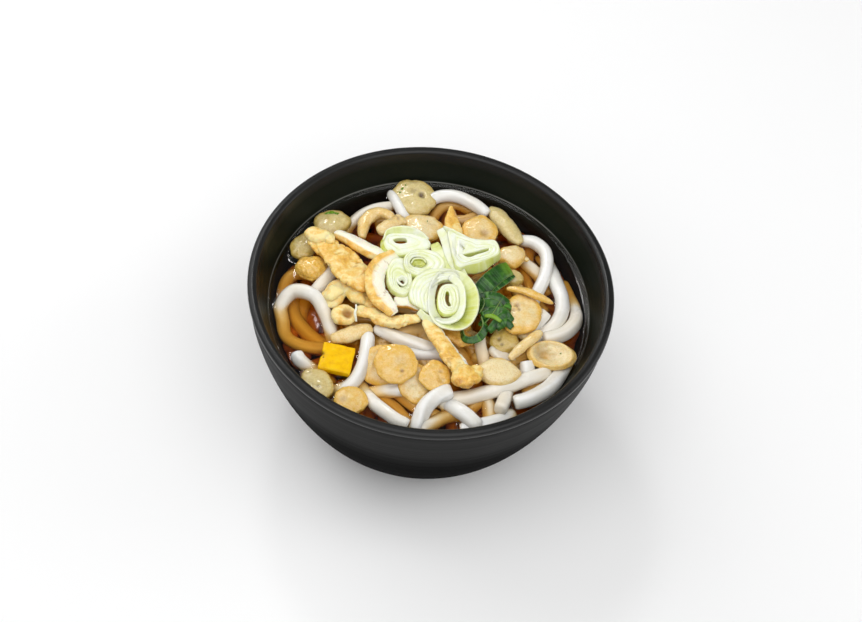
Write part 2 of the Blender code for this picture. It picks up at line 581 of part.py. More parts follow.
def heap_height(x, y, strands, under):
    """Top of the heap: a low dome, ridged where strands stand out, under the toppings."""
    r = math.hypot(x, y)
    z = LEVEL - HEAP_SUNK + 7.5 * math.exp(-(r / 34.0) ** 2)
    z += 0.7 * math.sin(0.23 * x + 1.0) * math.cos(0.21 * y - 0.5)
    d = np.hypot(strands[:, 0] - x, strands[:, 1] - y)
    near = d < STRAND_R
    if near.any():
        z = max(z, float((strands[near, 2] + np.sqrt(STRAND_R ** 2 - d[near] ** 2)).max()))
    i, j = int((x + HALF) / CELL), int((y + HALF) / CELL)
    cap = float(under[i, j])
    return min(z, cap - (GAP + 0.1 if cap > LEVEL + 1.0 else DEEP_CLEAR))


def make_heap(name, under, strands, grow=0.0):
    """Turned body whose top face is raised to heap_height."""
    rings = [0.0, 6.0, 12.0, 18.0, 24.0, 30.0, 36.0, 42.0, 47.5, 53.0, 58.0, 61.6]
    prof = [(r, 200.0) for r in rings]
    prof[-1] = (rings[-1] + grow, 200.0)
    for z, inset in ((55.0, 2.6), (38.0, 5.0), (21.0, 6.0), (16.0, 7.0)):
        prof.append((inner_radius(z) - inset + grow, z))
    prof += [(7.0, FLOOR_Z + 2.6 - grow), (0.0, FLOOR_Z + 2.4 - grow)]
    mesh = turned(name, prof, STEPS)
    low_map = spread(under, np.min, 7)
    for v in mesh.vertices:
        x, y, z = v.co / MM
        if z > 150.0:
            back = min(1.0, rings[-1] / (math.hypot(x, y) or 1.0))
            x, y = x * back, y * back
            rise = grow * (3.0 if math.hypot(x, y) > rings[-1] - 0.1 else 1.0)
            v.co.z = (heap_height(x, y, strands, low_map) + rise) * MM
    bm = bmesh.new()
    bm.from_mesh(mesh)
    bmesh.ops.triangulate(bm, faces=bm.faces[:], quad_method="FIXED")
    bm.to_mesh(mesh)
    bm.free()
    return mesh


# ---------------------------------------------------------------- broth
def make_broth(places, under, strands):
    line = [(0.0, FLOOR_Z)] + [(inner_radius(z), z) for z in INNER_STATIONS]
    prof = [(0.0, LEVEL), (inner_radius(LEVEL) - GAP - 0.15, LEVEL)]
    for k in range(len(line) - 2, 0, -1):
        (ra, za), (r, z), (rb, zb) = line[k - 1:k + 2]
        if z > LEVEL - 1.0:
            continue
        dr, dz = rb - ra, zb - za
        n = math.hypot(dr, dz)
        prof.append((r - (GAP + 0.1) * dz / n, z + (GAP + 0.1) * dr / n))
    prof.append((0.0, FLOOR_Z + GAP + 0.05))
    broth = add_object("broth", turned("broth", prof, STEPS), "broth")
    cutters = [add_object("cut_heap", make_heap("cut_heap", under, strands, grow=GAP), "noodles", CUTTERS)]
    for row, mid, low in places:
        if low < LEVEL + GAP:
            mesh, _ = build_topping(row, grow=GAP)
            moved(mesh, mid)
            cutters.append(add_object("cut_" + row[0], mesh, row[1], CUTTERS))
    for cut in cutters:
        cut.hide_render = True
        cut.display_type = "WIRE"
        mod = broth.modifiers.new(cut.name, "BOOLEAN")
        mod.operation = "DIFFERENCE"
        mod.object = cut
        mod.solver = "EXACT"
    bpy.context.view_layer.update()
    mesh = applied(broth)
    bm = bmesh.new()
    bm.from_mesh(mesh)
    bmesh.ops.remove_doubles(bm, verts=bm.verts[:], dist=0.000001)
    bmesh.ops.dissolve_degenerate(bm, edges=bm.edges[:], dist=0.000001)
    # a cut can leave a film across a neck; it shares all its edges with two other faces
    films = [f for f in bm.faces if all(len(e.link_faces) > 2 for e in f.edges)]
    bmesh.ops.delete(bm, geom=films, context="FACES_ONLY")
    # pockets closed in between strands and toppings are dropped: the broth is one body
    left, groups = set(bm.faces), []
    while left:
        seed = left.pop()
        group, stack = [seed], [seed]
        while stack:
            f = stack.pop()
            for e in f.edges:
                for g in e.link_faces:
                    if g in left:
                        left.discard(g)
                        group.append(g)
                        stack.append(g)
        groups.append(group)
    groups.sort(key=len, reverse=True)
    drop = [f for g in groups[1:] for f in g]
    bmesh.ops.delete(bm, geom=drop, context="FACES")
    bmesh.ops.triangulate(bm, faces=bm.faces[:])
    bm.to_mesh(mesh)
    bm.free()
    return add_object("broth", mesh, "broth")


# ---------------------------------------------------------------- the whole
make_bowl()
PLACES, UNDER = make_toppings()
SAMPLES = strand_samples()
add_object("noodles", make_heap("noodles", UNDER, SAMPLES), "noodles")
make_broth(PLACES, UNDER, SAMPLES)
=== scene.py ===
import bpy
import math
import numpy as np
from mathutils import Matrix, Vector
from mathutils.bvhtree import BVHTree
from mathutils.kdtree import KDTree


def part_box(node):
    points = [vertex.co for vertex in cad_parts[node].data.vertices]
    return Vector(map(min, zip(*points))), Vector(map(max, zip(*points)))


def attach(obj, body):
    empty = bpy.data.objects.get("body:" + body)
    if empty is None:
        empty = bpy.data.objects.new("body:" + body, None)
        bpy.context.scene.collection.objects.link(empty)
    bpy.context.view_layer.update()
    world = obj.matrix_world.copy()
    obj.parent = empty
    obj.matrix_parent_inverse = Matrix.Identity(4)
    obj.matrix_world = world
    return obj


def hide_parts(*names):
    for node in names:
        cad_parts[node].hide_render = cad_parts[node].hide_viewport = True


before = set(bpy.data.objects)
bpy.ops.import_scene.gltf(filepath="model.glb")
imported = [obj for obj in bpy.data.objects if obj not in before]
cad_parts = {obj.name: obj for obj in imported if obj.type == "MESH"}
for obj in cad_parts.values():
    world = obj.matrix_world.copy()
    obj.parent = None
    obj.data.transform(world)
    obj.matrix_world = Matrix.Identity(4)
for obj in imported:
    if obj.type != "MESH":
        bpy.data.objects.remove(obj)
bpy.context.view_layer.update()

MM = 0.001


def mid(node):
    lo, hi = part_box(node)
    return np.array([(a + b) / 2.0 for a, b in zip(lo, hi)]) / MM


RIM_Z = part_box("bowl")[1].z / MM
RIM_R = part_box("bowl")[1].x / MM
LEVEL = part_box("broth")[1].z / MM
FLOOR_Z = 10.0


# ================================================================ noise
def lattice(ix, iy, iz, seed):
    n = (ix * 1619 + iy * 31337 + iz * 6971 + seed * 1013) & 0x7fffffff
    n = (n >> 13) ^ n
    n = (n * ((n * n * 60493 + 19990303) & 0x7fffffff) + 1376312589) & 0x7fffffff
    return 1.0 - n / 1073741824.0


def noise(p, scale, seed=0):
    """Smooth value noise, -1..1, at points p (n, 3) in mm."""
    q = np.asarray(p, float) / scale
    i = np.floor(q).astype(np.int64)
    f = q - i
    u = f * f * (3.0 - 2.0 * f)
    out = 0.0
    for dx in (0, 1):
        for dy in (0, 1):
            for dz in (0, 1):
                w = ((u[:, 0] if dx else 1 - u[:, 0]) * (u[:, 1] if dy else 1 - u[:, 1])
                     * (u[:, 2] if dz else 1 - u[:, 2]))
                out = out + w * lattice(i[:, 0] + dx, i[:, 1] + dy, i[:, 2] + dz, seed)
    return out


def fbm(p, scale, seed=0, octaves=3, gain=0.5):
    out, amp = 0.0, 1.0
    for k in range(octaves):
        out = out + amp * noise(p, scale / 2.0 ** k, seed + 17 * k)
        amp *= gain
    return out


def cells(p, scale, seed=0):
    """Distance to the nearest of scattered points, 0..about 1: knobbly crusts and sponges."""
    q = np.asarray(p, float) / scale
    i = np.floor(q).astype(np.int64)
    best = np.full(len(q), 9.0)
    for dx in (-1, 0, 1):
        for dy in (-1, 0, 1):
            for dz in (-1, 0, 1):
                a, b, c = i[:, 0] + dx, i[:, 1] + dy, i[:, 2] + dz
                jit = np.stack([lattice(a, b, c, seed + k) * 0.5 + 0.5 for k in (1, 2, 3)], 1)
                d = np.linalg.norm(np.stack([a, b, c], 1) + jit - q, axis=1)
                best = np.minimum(best, d)
    return best


def sstep(a, b, x):
    t = np.clip((x - a) / (b - a), 0.0, 1.0)
    return t * t * (3.0 - 2.0 * t)


def spow(v, e):
    return np.sign(v) * np.abs(v) ** e


# ================================================================ meshes
class Geo:
    """Verts (mm), quads and triangles gathered into one mesh, with float attributes."""

    def __init__(self):
        self.v, self.q, self.t, self.a, self.n = [], [], [], [], 0

    def add(self, verts, quads=None, tris=None, **attrs):
        verts = np.asarray(verts, float)
        if quads is not None and len(quads):
            self.q.append(np.asarray(quads, np.int64) + self.n)
        if tris is not None and len(tris):
            self.t.append(np.asarray(tris, np.int64) + self.n)
        self.v.append(verts)
        self.a.append({k: np.broadcast_to(np.asarray(x, float), (len(verts),)) for k, x in attrs.items()})
        self.n += len(verts)
        return self

    def object(self, name, mat, slot, replaces=(), smooth=True, sharp=None):
        v = np.concatenate(self.v) * MM
        q = np.concatenate(self.q) if self.q else np.zeros((0, 4), np.int64)
        t = np.concatenate(self.t) if self.t else np.zeros((0, 3), np.int64)
        mesh = bpy.data.meshes.new(name)
        mesh.vertices.add(len(v))
        mesh.vertices.foreach_set("co", v.astype(np.float32).ravel())
        loops = np.concatenate([q.ravel(), t.ravel()]).astype(np.int32)
        starts = np.concatenate([np.arange(len(q)) * 4, len(q) * 4 + np.arange(len(t)) * 3]).astype(np.int32)
        mesh.loops.add(len(loops))
        mesh.loops.foreach_set("vertex_index", loops)
        mesh.polygons.add(len(starts))
        mesh.polygons.foreach_set("loop_start", starts)
        mesh.update(calc_edges=True)
        mesh.validate()
        mesh.shade_smooth() if smooth else mesh.shade_flat()
        if sharp:
            mesh.set_sharp_from_angle(angle=math.radians(sharp))
        names = sorted({k for a in self.a for k in a})
        for k in names:
            vals = np.concatenate([a.get(k, np.zeros(len(x))) for a, x in zip(self.a, self.v)])
            at = mesh.attributes.new(k, "FLOAT", "POINT")
            at.data.foreach_set("value", vals.astype(np.float32))
        ob = bpy.data.objects.new(name, mesh)
        bpy.context.scene.collection.objects.link(ob)
        mesh.materials.append(mat)
        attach(ob, "root")
        if replaces:
            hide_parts(*replaces)
        return ob


def vertex_normals(v, q, t=None):
    n = np.zeros_like(v)
    if q is not None and len(q):
        fn = np.cross(v[q[:, 2]] - v[q[:, 0]], v[q[:, 3]] - v[q[:, 1]])
        for k in range(4):
            np.add.at(n, q[:, k], fn)
    if t is not None and len(t):
        fn = np.cross(v[t[:, 1]] - v[t[:, 0]], v[t[:, 2]] - v[t[:, 0]])
        for k in range(3):
            np.add.at(n, t[:, k], fn)
    ln = np.linalg.norm(n, axis=1)
    return n / np.where(ln > 0, ln, 1.0)[:, None]


_spheres = {}


def cube_sphere(n):
    """Unit directions and quads of a cube blown up to a sphere, n x n faces a side."""
    if n in _spheres:
        return _spheres[n]
    g = np.tan(np.linspace(-1, 1, n + 1) * math.pi / 4.0)
    a, b = np.meshgrid(g, g, indexing="ij")
    one = np.ones_like(a)
    sides = [(one, a, b), (-one, b, a), (b, one, a), (a, -one, b), (a, b, one), (b, a, -one)]
    pts, quads, at = [], [], 0
    for s in sides:
        p = np.stack([x.ravel() for x in s], 1)
        idx = np.arange((n + 1) ** 2).reshape(n + 1, n + 1) + at
        pts.append(p)
        quads.append(np.stack([idx[:-1, :-1], idx[1:, :-1], idx[1:, 1:], idx[:-1, 1:]], -1).reshape(-1, 4))
        at += (n + 1) ** 2
    p = np.concatenate(pts)
    q = np.concatenate(quads)
    p /= np.linalg.norm(p, axis=1)[:, None]
    key = np.round(p * 1e5).astype(np.int64)
    _, first, inv = np.unique(key, axis=0, return_index=True, return_inverse=True)
    q = inv.ravel()[q]
    p = p[first]
    c = p[q].mean(axis=1)
    fn = np.cross(p[q[:, 2]] - p[q[:, 0]], p[q[:, 3]] - p[q[:, 1]])
    flip = (fn * c).sum(1) < 0
    q[flip] = q[flip][:, ::-1]
    _spheres[n] = (p, q)
    return p, q


def rotated(p, yaw=0.0, tx=0.0, ty=0.0):
    x, y, z = p[:, 0], p[:, 1], p[:, 2]
    a = math.radians(tx)
    y, z = y * math.cos(a) - z * math.sin(a), y * math.sin(a) + z * math.cos(a)
    a = math.radians(ty)
    x, z = x * math.cos(a) + z * math.sin(a), -x * math.sin(a) + z * math.cos(a)
    a = math.radians(yaw)
    return np.stack([x * math.cos(a) - y * math.sin(a), x * math.sin(a) + y * math.cos(a), z], 1)


def centred(v, node):
    """Shift points so that their box is centred where the CAD node's box is."""
    return v + (mid(node) - (v.min(0) + v.max(0)) / 2.0)


# ---------------------------------------------------------------- lines and sweeps
def smooth_line(points, n, closed=False):
    """n points evenly spaced along a Catmull-Rom line, with t in 0..1."""
    p = np.array(points, float)
    if closed:
        ext = np.concatenate([p[-1:], p, p[:2]])
        spans = len(p)
    else:
        ext = np.concatenate([2 * p[:1] - p[1:2], p, 2 * p[-1:] - p[-2:-1]])
        spans = len(p) - 1
    u = np.linspace(0, spans, spans * 24 + 1)
    i = np.minimum(u.astype(int), spans - 1)
    f = (u - i)[:, None]
    a, b, c, d = ext[i], ext[i + 1], ext[i + 2], ext[i + 3]
    line = 0.5 * (2 * b + (c - a) * f + (2 * a - 5 * b + 4 * c - d) * f ** 2 + (3 * b - a - 3 * c + d) * f ** 3)
    run = np.concatenate([[0], np.cumsum(np.linalg.norm(np.diff(line, axis=0), axis=1))])
    want = np.linspace(0, run[-1], n + 1 if closed else n)
    if closed:
        want = want[:-1]
    out = np.stack([np.interp(want, run, line[:, k]) for k in range(line.shape[1])], 1)
    return out, run[-1]


def line_frames(line, closed=False):
    if closed:
        tan = np.roll(line, -1, 0) - np.roll(line, 1, 0)
    else:
        tan = np.gradient(line, axis=0)
    tan /= np.linalg.norm(tan, axis=1)[:, None]
    side = np.cross(tan, (0.0, 0.0, 1.0))
    ln = np.linalg.norm(side, axis=1)
    side /= np.where(ln > 1e-6, ln, 1.0)[:, None]
    return tan, side, np.cross(side, tan)


def tube_faces(n, k, closed=False):
    i, j = np.meshgrid(np.arange(n if closed else n - 1), np.arange(k), indexing="ij")
    a = i * k + j
    b = ((i + 1) % n) * k + j
    a2 = i * k + (j + 1) % k
    b2 = ((i + 1) % n) * k + (j + 1) % k
    return np.stack([a, b, b2, a2], -1).reshape(-1, 4)


def along_list(vals, t):
    vals = np.atleast_1d(np.asarray(vals, float))
    if len(vals) == 1:
        return np.full(len(t), vals[0])
    x = np.linspace(0, 1, len(vals))
    return np.interp(t, x, vals)


def squircle(k, e):
    a = np.linspace(0, 2 * math.pi, k, endpoint=False)
    return spow(np.cos(a), e), spow(np.sin(a), e), a


# ================================================================ node materials
def new_mat(name):
    m = bpy.data.materials.new(name)
    m.use_nodes = True
    nt = m.node_tree
    return m, nt, nt.nodes["Principled BSDF"]


def node(nt, kind, **props):
    n = nt.nodes.new(kind)
    ins = props.pop("ins", {})
    for k, x in props.items():
        setattr(n, k, x)
    for k, x in ins.items():
        n.inputs[k].default_value = x
    return n


def tex_noise(nt, scale, detail=3.0, rough=0.5, distort=0.0, stretch=None):
    co = nt.nodes.new("ShaderNodeTexCoord")
    src = co.outputs["Object"]
    if stretch:
        mp = nt.nodes.new("ShaderNodeMapping")
        mp.inputs["Scale"].default_value = stretch
        nt.links.new(src, mp.inputs["Vector"])
        src = mp.outputs["Vector"]
    n = node(nt, "ShaderNodeTexNoise", ins={"Scale": scale, "Detail": detail, "Roughness": rough, "Distortion": distort})
    nt.links.new(src, n.inputs["Vector"])
    return n.outputs["Fac"]


def tex_cells(nt, scale, feature="F1", smooth=None):
    co = nt.nodes.new("ShaderNodeTexCoord")
    n = node(nt, "ShaderNodeTexVoronoi", feature=feature, ins={"Scale": scale})
    nt.links.new(co.outputs["Object"], n.inputs["Vector"])
    return n.outputs["Distance"]


def attr(nt, name):
    n = node(nt, "ShaderNodeAttribute", attribute_name=name)
    return n.outputs["Fac"]


def ramp(nt, src, *stops, ease="LINEAR"):
    """Colour ramp from (position, colour) stops."""
    n = nt.nodes.new("ShaderNodeValToRGB")
    n.color_ramp.interpolation = ease
    els = n.color_ramp.elements
    while len(els) > 1:
        els.remove(els[-1])
    for k, (pos, col) in enumerate(stops):
        e = els[0] if k == 0 else els.new(pos)
        e.position = pos
        col = (col, col, col) if isinstance(col, (int, float)) else col
        e.color = (*col, 1.0)
    nt.links.new(src, n.inputs["Fac"])
    return n.outputs["Color"]


def mix(nt, fac, a, b, how="MIX"):
    n = node(nt, "ShaderNodeMix", data_type="RGBA", blend_type=how)
    for sock, val in ((n.inputs["Factor"], fac), (n.inputs[6], a), (n.inputs[7], b)):
        if hasattr(val, "is_linked") or hasattr(val, "links"):
            nt.links.new(val, sock)
        elif isinstance(val, (int, float)):
            sock.default_value = val
        else:
            sock.default_value = (*val, 1.0)
    return n.outputs[2]


def maths(nt, op, a, b=None, c=None, clamp=False):
    n = node(nt, "ShaderNodeMath", operation=op, use_clamp=clamp)
    for i, val in enumerate((a, b, c)):
        if val is None:
            continue
        if hasattr(val, "links"):
            nt.links.new(val, n.inputs[i])
        else:
            n.inputs[i].default_value = val
    return n.outputs[0]


def remap(nt, src, lo, hi, to_lo, to_hi):
    n = node(nt, "ShaderNodeMapRange", ins={"From Min": lo, "From Max": hi, "To Min": to_lo, "To Max": to_hi})
    nt.links.new(src, n.inputs["Value"])
    return n.outputs["Result"]


def bump(nt, bsdf, *layers):
    """layers: (height socket, strength, distance in m), chained."""
    last = None
    for src, strength, dist in layers:
        n = node(nt, "ShaderNodeBump", ins={"Strength": strength, "Distance": dist})
        nt.links.new(src, n.inputs["Height"])
        if last is not None:
            nt.links.new(last, n.inputs["Normal"])
        last = n.outputs["Normal"]
    nt.links.new(last, bsdf.inputs["Normal"])


def wet(bsdf, sss=0.0, radius=(1.0, 0.6, 0.3), scale=0.002, coat=0.0, coat_rough=0.1, spec=0.5, ior=1.4):
    bsdf.inputs["Subsurface Weight"].default_value = sss
    bsdf.inputs["Subsurface Radius"].default_value = radius
    bsdf.inputs["Subsurface Scale"].default_value = scale
    bsdf.inputs["Coat Weight"].default_value = coat
    bsdf.inputs["Coat Roughness"].default_value = coat_rough
    bsdf.inputs["Specular IOR Level"].default_value = spec
    bsdf.inputs["IOR"].default_value = ior


def mat_bowl():
    """Satin black ware: a touch of sheen on the lip and inside, matt on the outside. Its colour holds painted shade low
    on the body, painted shade and a painted greenish reflection inside, and a painted highlight line just above the
    broth.
    """
    m, nt, b = new_mat("satin_black_bowl")
    big = tex_noise(nt, 22.0, 4.0, 0.55)
    fine = tex_noise(nt, 900.0, 3.0, 0.6)
    rings = tex_noise(nt, 40.0, 3.0, 0.6, stretch=(0.05, 0.05, 14.0))
    lip, inside, foot = attr(nt, "lip"), attr(nt, "inside"), attr(nt, "foot")
    col = ramp(nt, big, (0.30, (0.0085, 0.0086, 0.0085)), (0.70, (0.0150, 0.0152, 0.0150)))
    # painted shade and painted reflection: the inside gets a darker, greener copy of the black glaze
    col = mix(nt, inside, col, ramp(nt, big, (0.30, (0.0040, 0.0062, 0.0036)), (0.70, (0.0085, 0.0115, 0.0075))))
    col = mix(nt, remap(nt, fine, 0.62, 0.75, 0.0, 0.25), col, (0.022, 0.023, 0.022))
    # painted shade: the body's colour darkens towards its bottom
    col = mix(nt, maths(nt, "MULTIPLY", foot, 0.92), col, (0.0022, 0.0022, 0.0023))
    tall = attr(nt, "height")                        # pale band painted just above the broth: a painted highlight of the wet meniscus line
    waterline_highlight = maths(nt, "MULTIPLY", remap(nt, tall, 65.50, 65.80, 0.0, 1.0), remap(nt, tall, 66.00, 66.45, 1.0, 0.0))
    waterline_highlight = maths(nt, "MULTIPLY", waterline_highlight, inside)
    waterline_highlight = maths(nt, "MULTIPLY", waterline_highlight, remap(nt, big, 0.35, 0.60, 0.55, 1.0), clamp=True)
    col = mix(nt, waterline_highlight, col, (0.20, 0.205, 0.19))
    nt.links.new(col, b.inputs["Base Color"])
    r = maths(nt, "ADD", remap(nt, big, 0.3, 0.7, 0.50, 0.60), remap(nt, rings, 0.3, 0.7, -0.05, 0.05))
    r = maths(nt, "SUBTRACT", r, maths(nt, "MULTIPLY", lip, 0.24))
    r = maths(nt, "SUBTRACT", r, maths(nt, "MULTIPLY", inside, 0.16))
    nt.links.new(r, b.inputs["Roughness"])
    sheen = attr(nt, "sheen")
    sp = maths(nt, "ADD", maths(nt, "MULTIPLY", lip, 0.42), maths(nt, "MULTIPLY", inside, 0.19))
    sp = maths(nt, "ADD", sp, maths(nt, "MULTIPLY", sheen, 0.17))
    sp = maths(nt, "ADD", sp, 0.008, clamp=True)
    b.inputs["Specular IOR Level"].default_value = 0.15
    nt.links.new(sp, b.inputs["Specular IOR Level"])
    bump(nt, b, (rings, 0.18, 0.0004), (fine, 0.10, 0.00012))
    b.inputs["IOR"].default_value = 1.4
    return m


def mat_noodle(name, deep=False):
    """Boiled udon: smooth, milky, with faint streaks along the strand; warmer where it has soaked, and darker as
    painted shade in its groove and where strands lie under the toppings.
    """
    m, nt, b = new_mat(name)
    soft = tex_noise(nt, 160.0, 3.0, 0.5)
    fine = tex_noise(nt, 1400.0, 2.0, 0.5)
    tone = attr(nt, "tone")
    streak = attr(nt, "streak")
    groove = attr(nt, "groove")
    col = ramp(nt, soft, (0.30, (0.79, 0.78, 0.715)), (0.65, (0.86, 0.855, 0.825)))
    col = mix(nt, remap(nt, streak, 0.45, 0.95, 0.0, 0.55), col, (0.95, 0.94, 0.92))
    col = mix(nt, remap(nt, streak, 0.45, 0.05, 0.0, 0.35), col, (0.80, 0.74, 0.62))
    soaked = ramp(nt, tone, (0.0, (0.84, 0.74, 0.52)), (0.5, (0.77, 0.54, 0.22)), (1.0, (0.56, 0.30, 0.040)))
    col = mix(nt, remap(nt, tone, 0.05, 0.60, 0.0, 0.95), col, soaked)
    # painted shade: the strand's groove is darkened in colour
    col = mix(nt, remap(nt, groove, 0.2, 1.0, 0.0, 0.22), col, (0.66, 0.56, 0.42))
    nt.links.new(col, b.inputs["Base Color"])
    nt.links.new(remap(nt, soft, 0.3, 0.7, 0.18, 0.30), b.inputs["Roughness"])
    bump(nt, b, (streak, 0.16, 0.0004), (fine, 0.05, 0.0001))
    wet(b, sss=0.45 if not deep else 0.0, radius=(0.85, 0.82, 0.80), scale=0.0018, coat=0.60, coat_rough=0.06)
    return m


def mat_batter(name, pale, gold, dark, speck, wetness=0.4, specks=0.5):
    """Fried batter: paler on top, golden at the rim and below (partly browning, partly painted shade), speckled,
    browned in its pit; crease lines on creased bars are darkened as painted shade.
    """
    m, nt, b = new_mat(name)
    soft = tex_noise(nt, 300.0, 4.0, 0.6)
    fine = tex_noise(nt, 1700.0, 3.0, 0.6)
    dots = tex_cells(nt, 1500.0)
    patch = tex_noise(nt, 620.0, 2.0, 0.5)
    low, pit, tint = attr(nt, "low"), attr(nt, "pit"), attr(nt, "tint")
    # golden rim and underside: partly browning, partly painted shade
    f = maths(nt, "ADD", low, remap(nt, soft, 0.3, 0.7, -0.30, 0.30))
    f = maths(nt, "ADD", f, tint, clamp=True)
    col = mix(nt, f, pale, gold)
    col = mix(nt, remap(nt, fine, 0.46, 0.72, 0.0, 0.26), col, [min(1.0, c * 1.10 + 0.03) for c in pale])
    col = mix(nt, remap(nt, fine, 0.52, 0.30, 0.0, 0.30), col, [c * 0.82 for c in gold])
    sp = maths(nt, "MULTIPLY", remap(nt, dots, 0.30, 0.12, 0.0, 1.0), remap(nt, patch, 0.50, 0.60, 0.0, specks), clamp=True)
    col = mix(nt, sp, col, speck)
    mott = tex_noise(nt, 520.0, 4.0, 0.65, 0.8)
    col = mix(nt, remap(nt, mott, 0.54, 0.72, 0.0, 0.24), col, [min(1.0, c * 1.12 + 0.06) for c in pale])
    col = mix(nt, remap(nt, mott, 0.48, 0.30, 0.0, 0.32), col, [0.9 * c for c in gold])
    # browned pits; on creased bars also the crease lines, as painted shade
    col = mix(nt, pit, col, dark)
    nt.links.new(col, b.inputs["Base Color"])
    nt.links.new(remap(nt, fine, 0.3, 0.7, 0.24, 0.42), b.inputs["Roughness"])
    bump(nt, b, (soft, 0.42, 0.0008), (mott, 0.30, 0.0004), (fine, 0.14, 0.0002))
    wet(b, sss=0.32, radius=(0.80, 0.60, 0.28), scale=0.0018, coat=wetness, coat_rough=0.07)
    return m


def mat_tofu(name, pale, gold, deep, sponge, crease_and_hole_shade):
    """Fried tofu: golden wrinkled skin that runs from pale to deep gold, and pale spongy cut faces; its creases and
    hollows are darkened as painted shade.
    """
    m, nt, b = new_mat(name)
    soft = tex_noise(nt, 260.0, 4.0, 0.6, 0.5)
    fine = tex_noise(nt, 1300.0, 3.0, 0.65)
    pores = tex_cells(nt, 1200.0)
    cut, pit, tint = attr(nt, "cut"), attr(nt, "pit"), attr(nt, "tint")
    fold = tex_noise(nt, 130.0, 3.0, 0.6, 1.2)
    f = maths(nt, "ADD", tint, remap(nt, soft, 0.3, 0.7, -0.34, 0.34))
    f = maths(nt, "ADD", f, remap(nt, fold, 0.35, 0.65, -0.26, 0.26), clamp=True)
    col = ramp(nt, f, (0.0, pale), (0.5, gold), (1.0, deep))
    col = mix(nt, remap(nt, fine, 0.52, 0.75, 0.0, 0.40), col, [min(1.0, c * 1.08 + 0.02) for c in pale])
    edge = maths(nt, "ADD", cut, remap(nt, soft, 0.3, 0.7, -0.30, 0.26), clamp=True)
    spg = mix(nt, remap(nt, pores, 0.08, 0.40, 0.32, 0.0), sponge, pale)
    col = mix(nt, remap(nt, edge, 0.15, 0.90, 0.0, 1.0), col, spg)
    # painted shade: creases and the deep hollow are darkened
    col = mix(nt, pit, col, crease_and_hole_shade)
    nt.links.new(col, b.inputs["Base Color"])
    nt.links.new(remap(nt, fine, 0.3, 0.7, 0.34, 0.56), b.inputs["Roughness"])
    bump(nt, b, (soft, 0.30, 0.0007), (pores, 0.22, 0.0003), (fine, 0.25, 0.0002))
    wet(b, sss=0.30, radius=(1.0, 0.6, 0.25), scale=0.0018, coat=0.2, coat_rough=0.2)
    return m


def mat_onion():
    """Layers of long onion: white inside, yellow-green outside, faint lengthwise fibres."""
    m, nt, b = new_mat("long_onion_layers")
    soft = tex_noise(nt, 240.0, 3.0, 0.5)
    fine = tex_noise(nt, 1300.0, 3.0, 0.6)
    out, fib, edge = attr(nt, "out"), attr(nt, "fibre"), attr(nt, "edge")
    f = maths(nt, "ADD", out, remap(nt, soft, 0.3, 0.7, -0.20, 0.20), clamp=True)
    col = ramp(nt, f, (0.0, (0.86, 0.90, 0.74)), (0.35, (0.79, 0.84, 0.47)), (0.70, (0.68, 0.73, 0.24)), (1.0, (0.58, 0.62, 0.07)))
    col = mix(nt, remap(nt, fib, 0.45, 1.0, 0.0, 0.45), col, (0.92, 0.95, 0.84))
    col = mix(nt, remap(nt, edge, 0.0, 1.0, 0.0, 0.50), col, (0.90, 0.94, 0.74))
    nt.links.new(col, b.inputs["Base Color"])
    nt.links.new(remap(nt, soft, 0.3, 0.7, 0.22, 0.34), b.inputs["Roughness"])
    bump(nt, b, (fib, 0.15, 0.0003), (fine, 0.08, 0.0002))
    wet(b, sss=0.50, radius=(0.75, 0.75, 0.90), scale=0.0018, coat=0.30, coat_rough=0.1)
    return m


def mat_green():
    m, nt, b = new_mat("onion_green_leaf")
    soft = tex_noise(nt, 300.0, 3.0, 0.5)
    fine = tex_noise(nt, 1500.0, 3.0, 0.6)
    fib, edge, out = attr(nt, "fibre"), attr(nt, "edge"), attr(nt, "out")
    col = ramp(nt, soft, (0.30, (0.006, 0.034, 0.005)), (0.52, (0.019, 0.092, 0.009)), (0.75, (0.056, 0.185, 0.014)))
    # painted highlight on the ribs and painted shade between them: lighter where the rib pattern is high, darker where
    # it is low
    col = mix(nt, remap(nt, fib, 0.56, 0.86, 0.0, 0.85), col, (0.150, 0.370, 0.060))
    col = mix(nt, remap(nt, fib, 0.45, 0.0, 0.0, 0.55), col, (0.005, 0.028, 0.005))
    col = mix(nt, remap(nt, out, 0.1, 1.0, 0.0, 0.90), col, (0.200, 0.380, 0.015))
    col = mix(nt, remap(nt, edge, 0.4, 1.0, 0.0, 0.70), col, (0.300, 0.400, 0.130))
    nt.links.new(col, b.inputs["Base Color"])
    nt.links.new(remap(nt, fine, 0.3, 0.7, 0.18, 0.36), b.inputs["Roughness"])
    bump(nt, b, (fib, 0.70, 0.0006), (fine, 0.15, 0.0002))
    wet(b, sss=0.0, coat=0.40, coat_rough=0.05, spec=0.30)
    return m


def mat_yellow():
    m, nt, b = new_mat("bright_yellow_square")
    soft = tex_noise(nt, 300.0, 4.0, 0.6)
    fine = tex_noise(nt, 1400.0, 3.0, 0.6)
    dots = tex_cells(nt, 420.0)
    gate = tex_noise(nt, 380.0, 2.0, 0.5)
    col = ramp(nt, soft, (0.30, (0.80, 0.42, 0.0)), (0.50, (0.92, 0.54, 0.0)), (0.75, (0.97, 0.64, 0.004)))
    sp = maths(nt, "MULTIPLY", remap(nt, dots, 0.20, 0.10, 0.0, 1.0), remap(nt, gate, 0.56, 0.62, 0.0, 0.9), clamp=True)
    col = mix(nt, sp, col, (0.10, 0.045, 0.004))
    col = mix(nt, attr(nt, "pit"), col, (0.09, 0.035, 0.004))
    nt.links.new(col, b.inputs["Base Color"])
    nt.links.new(remap(nt, fine, 0.3, 0.7, 0.26, 0.42), b.inputs["Roughness"])
    bump(nt, b, (soft, 0.30, 0.0005), (fine, 0.20, 0.0002))
    wet(b, sss=0.15, radius=(1.0, 0.6, 0.02), scale=0.001, coat=0.0, coat_rough=0.15, spec=0.25)
    return m


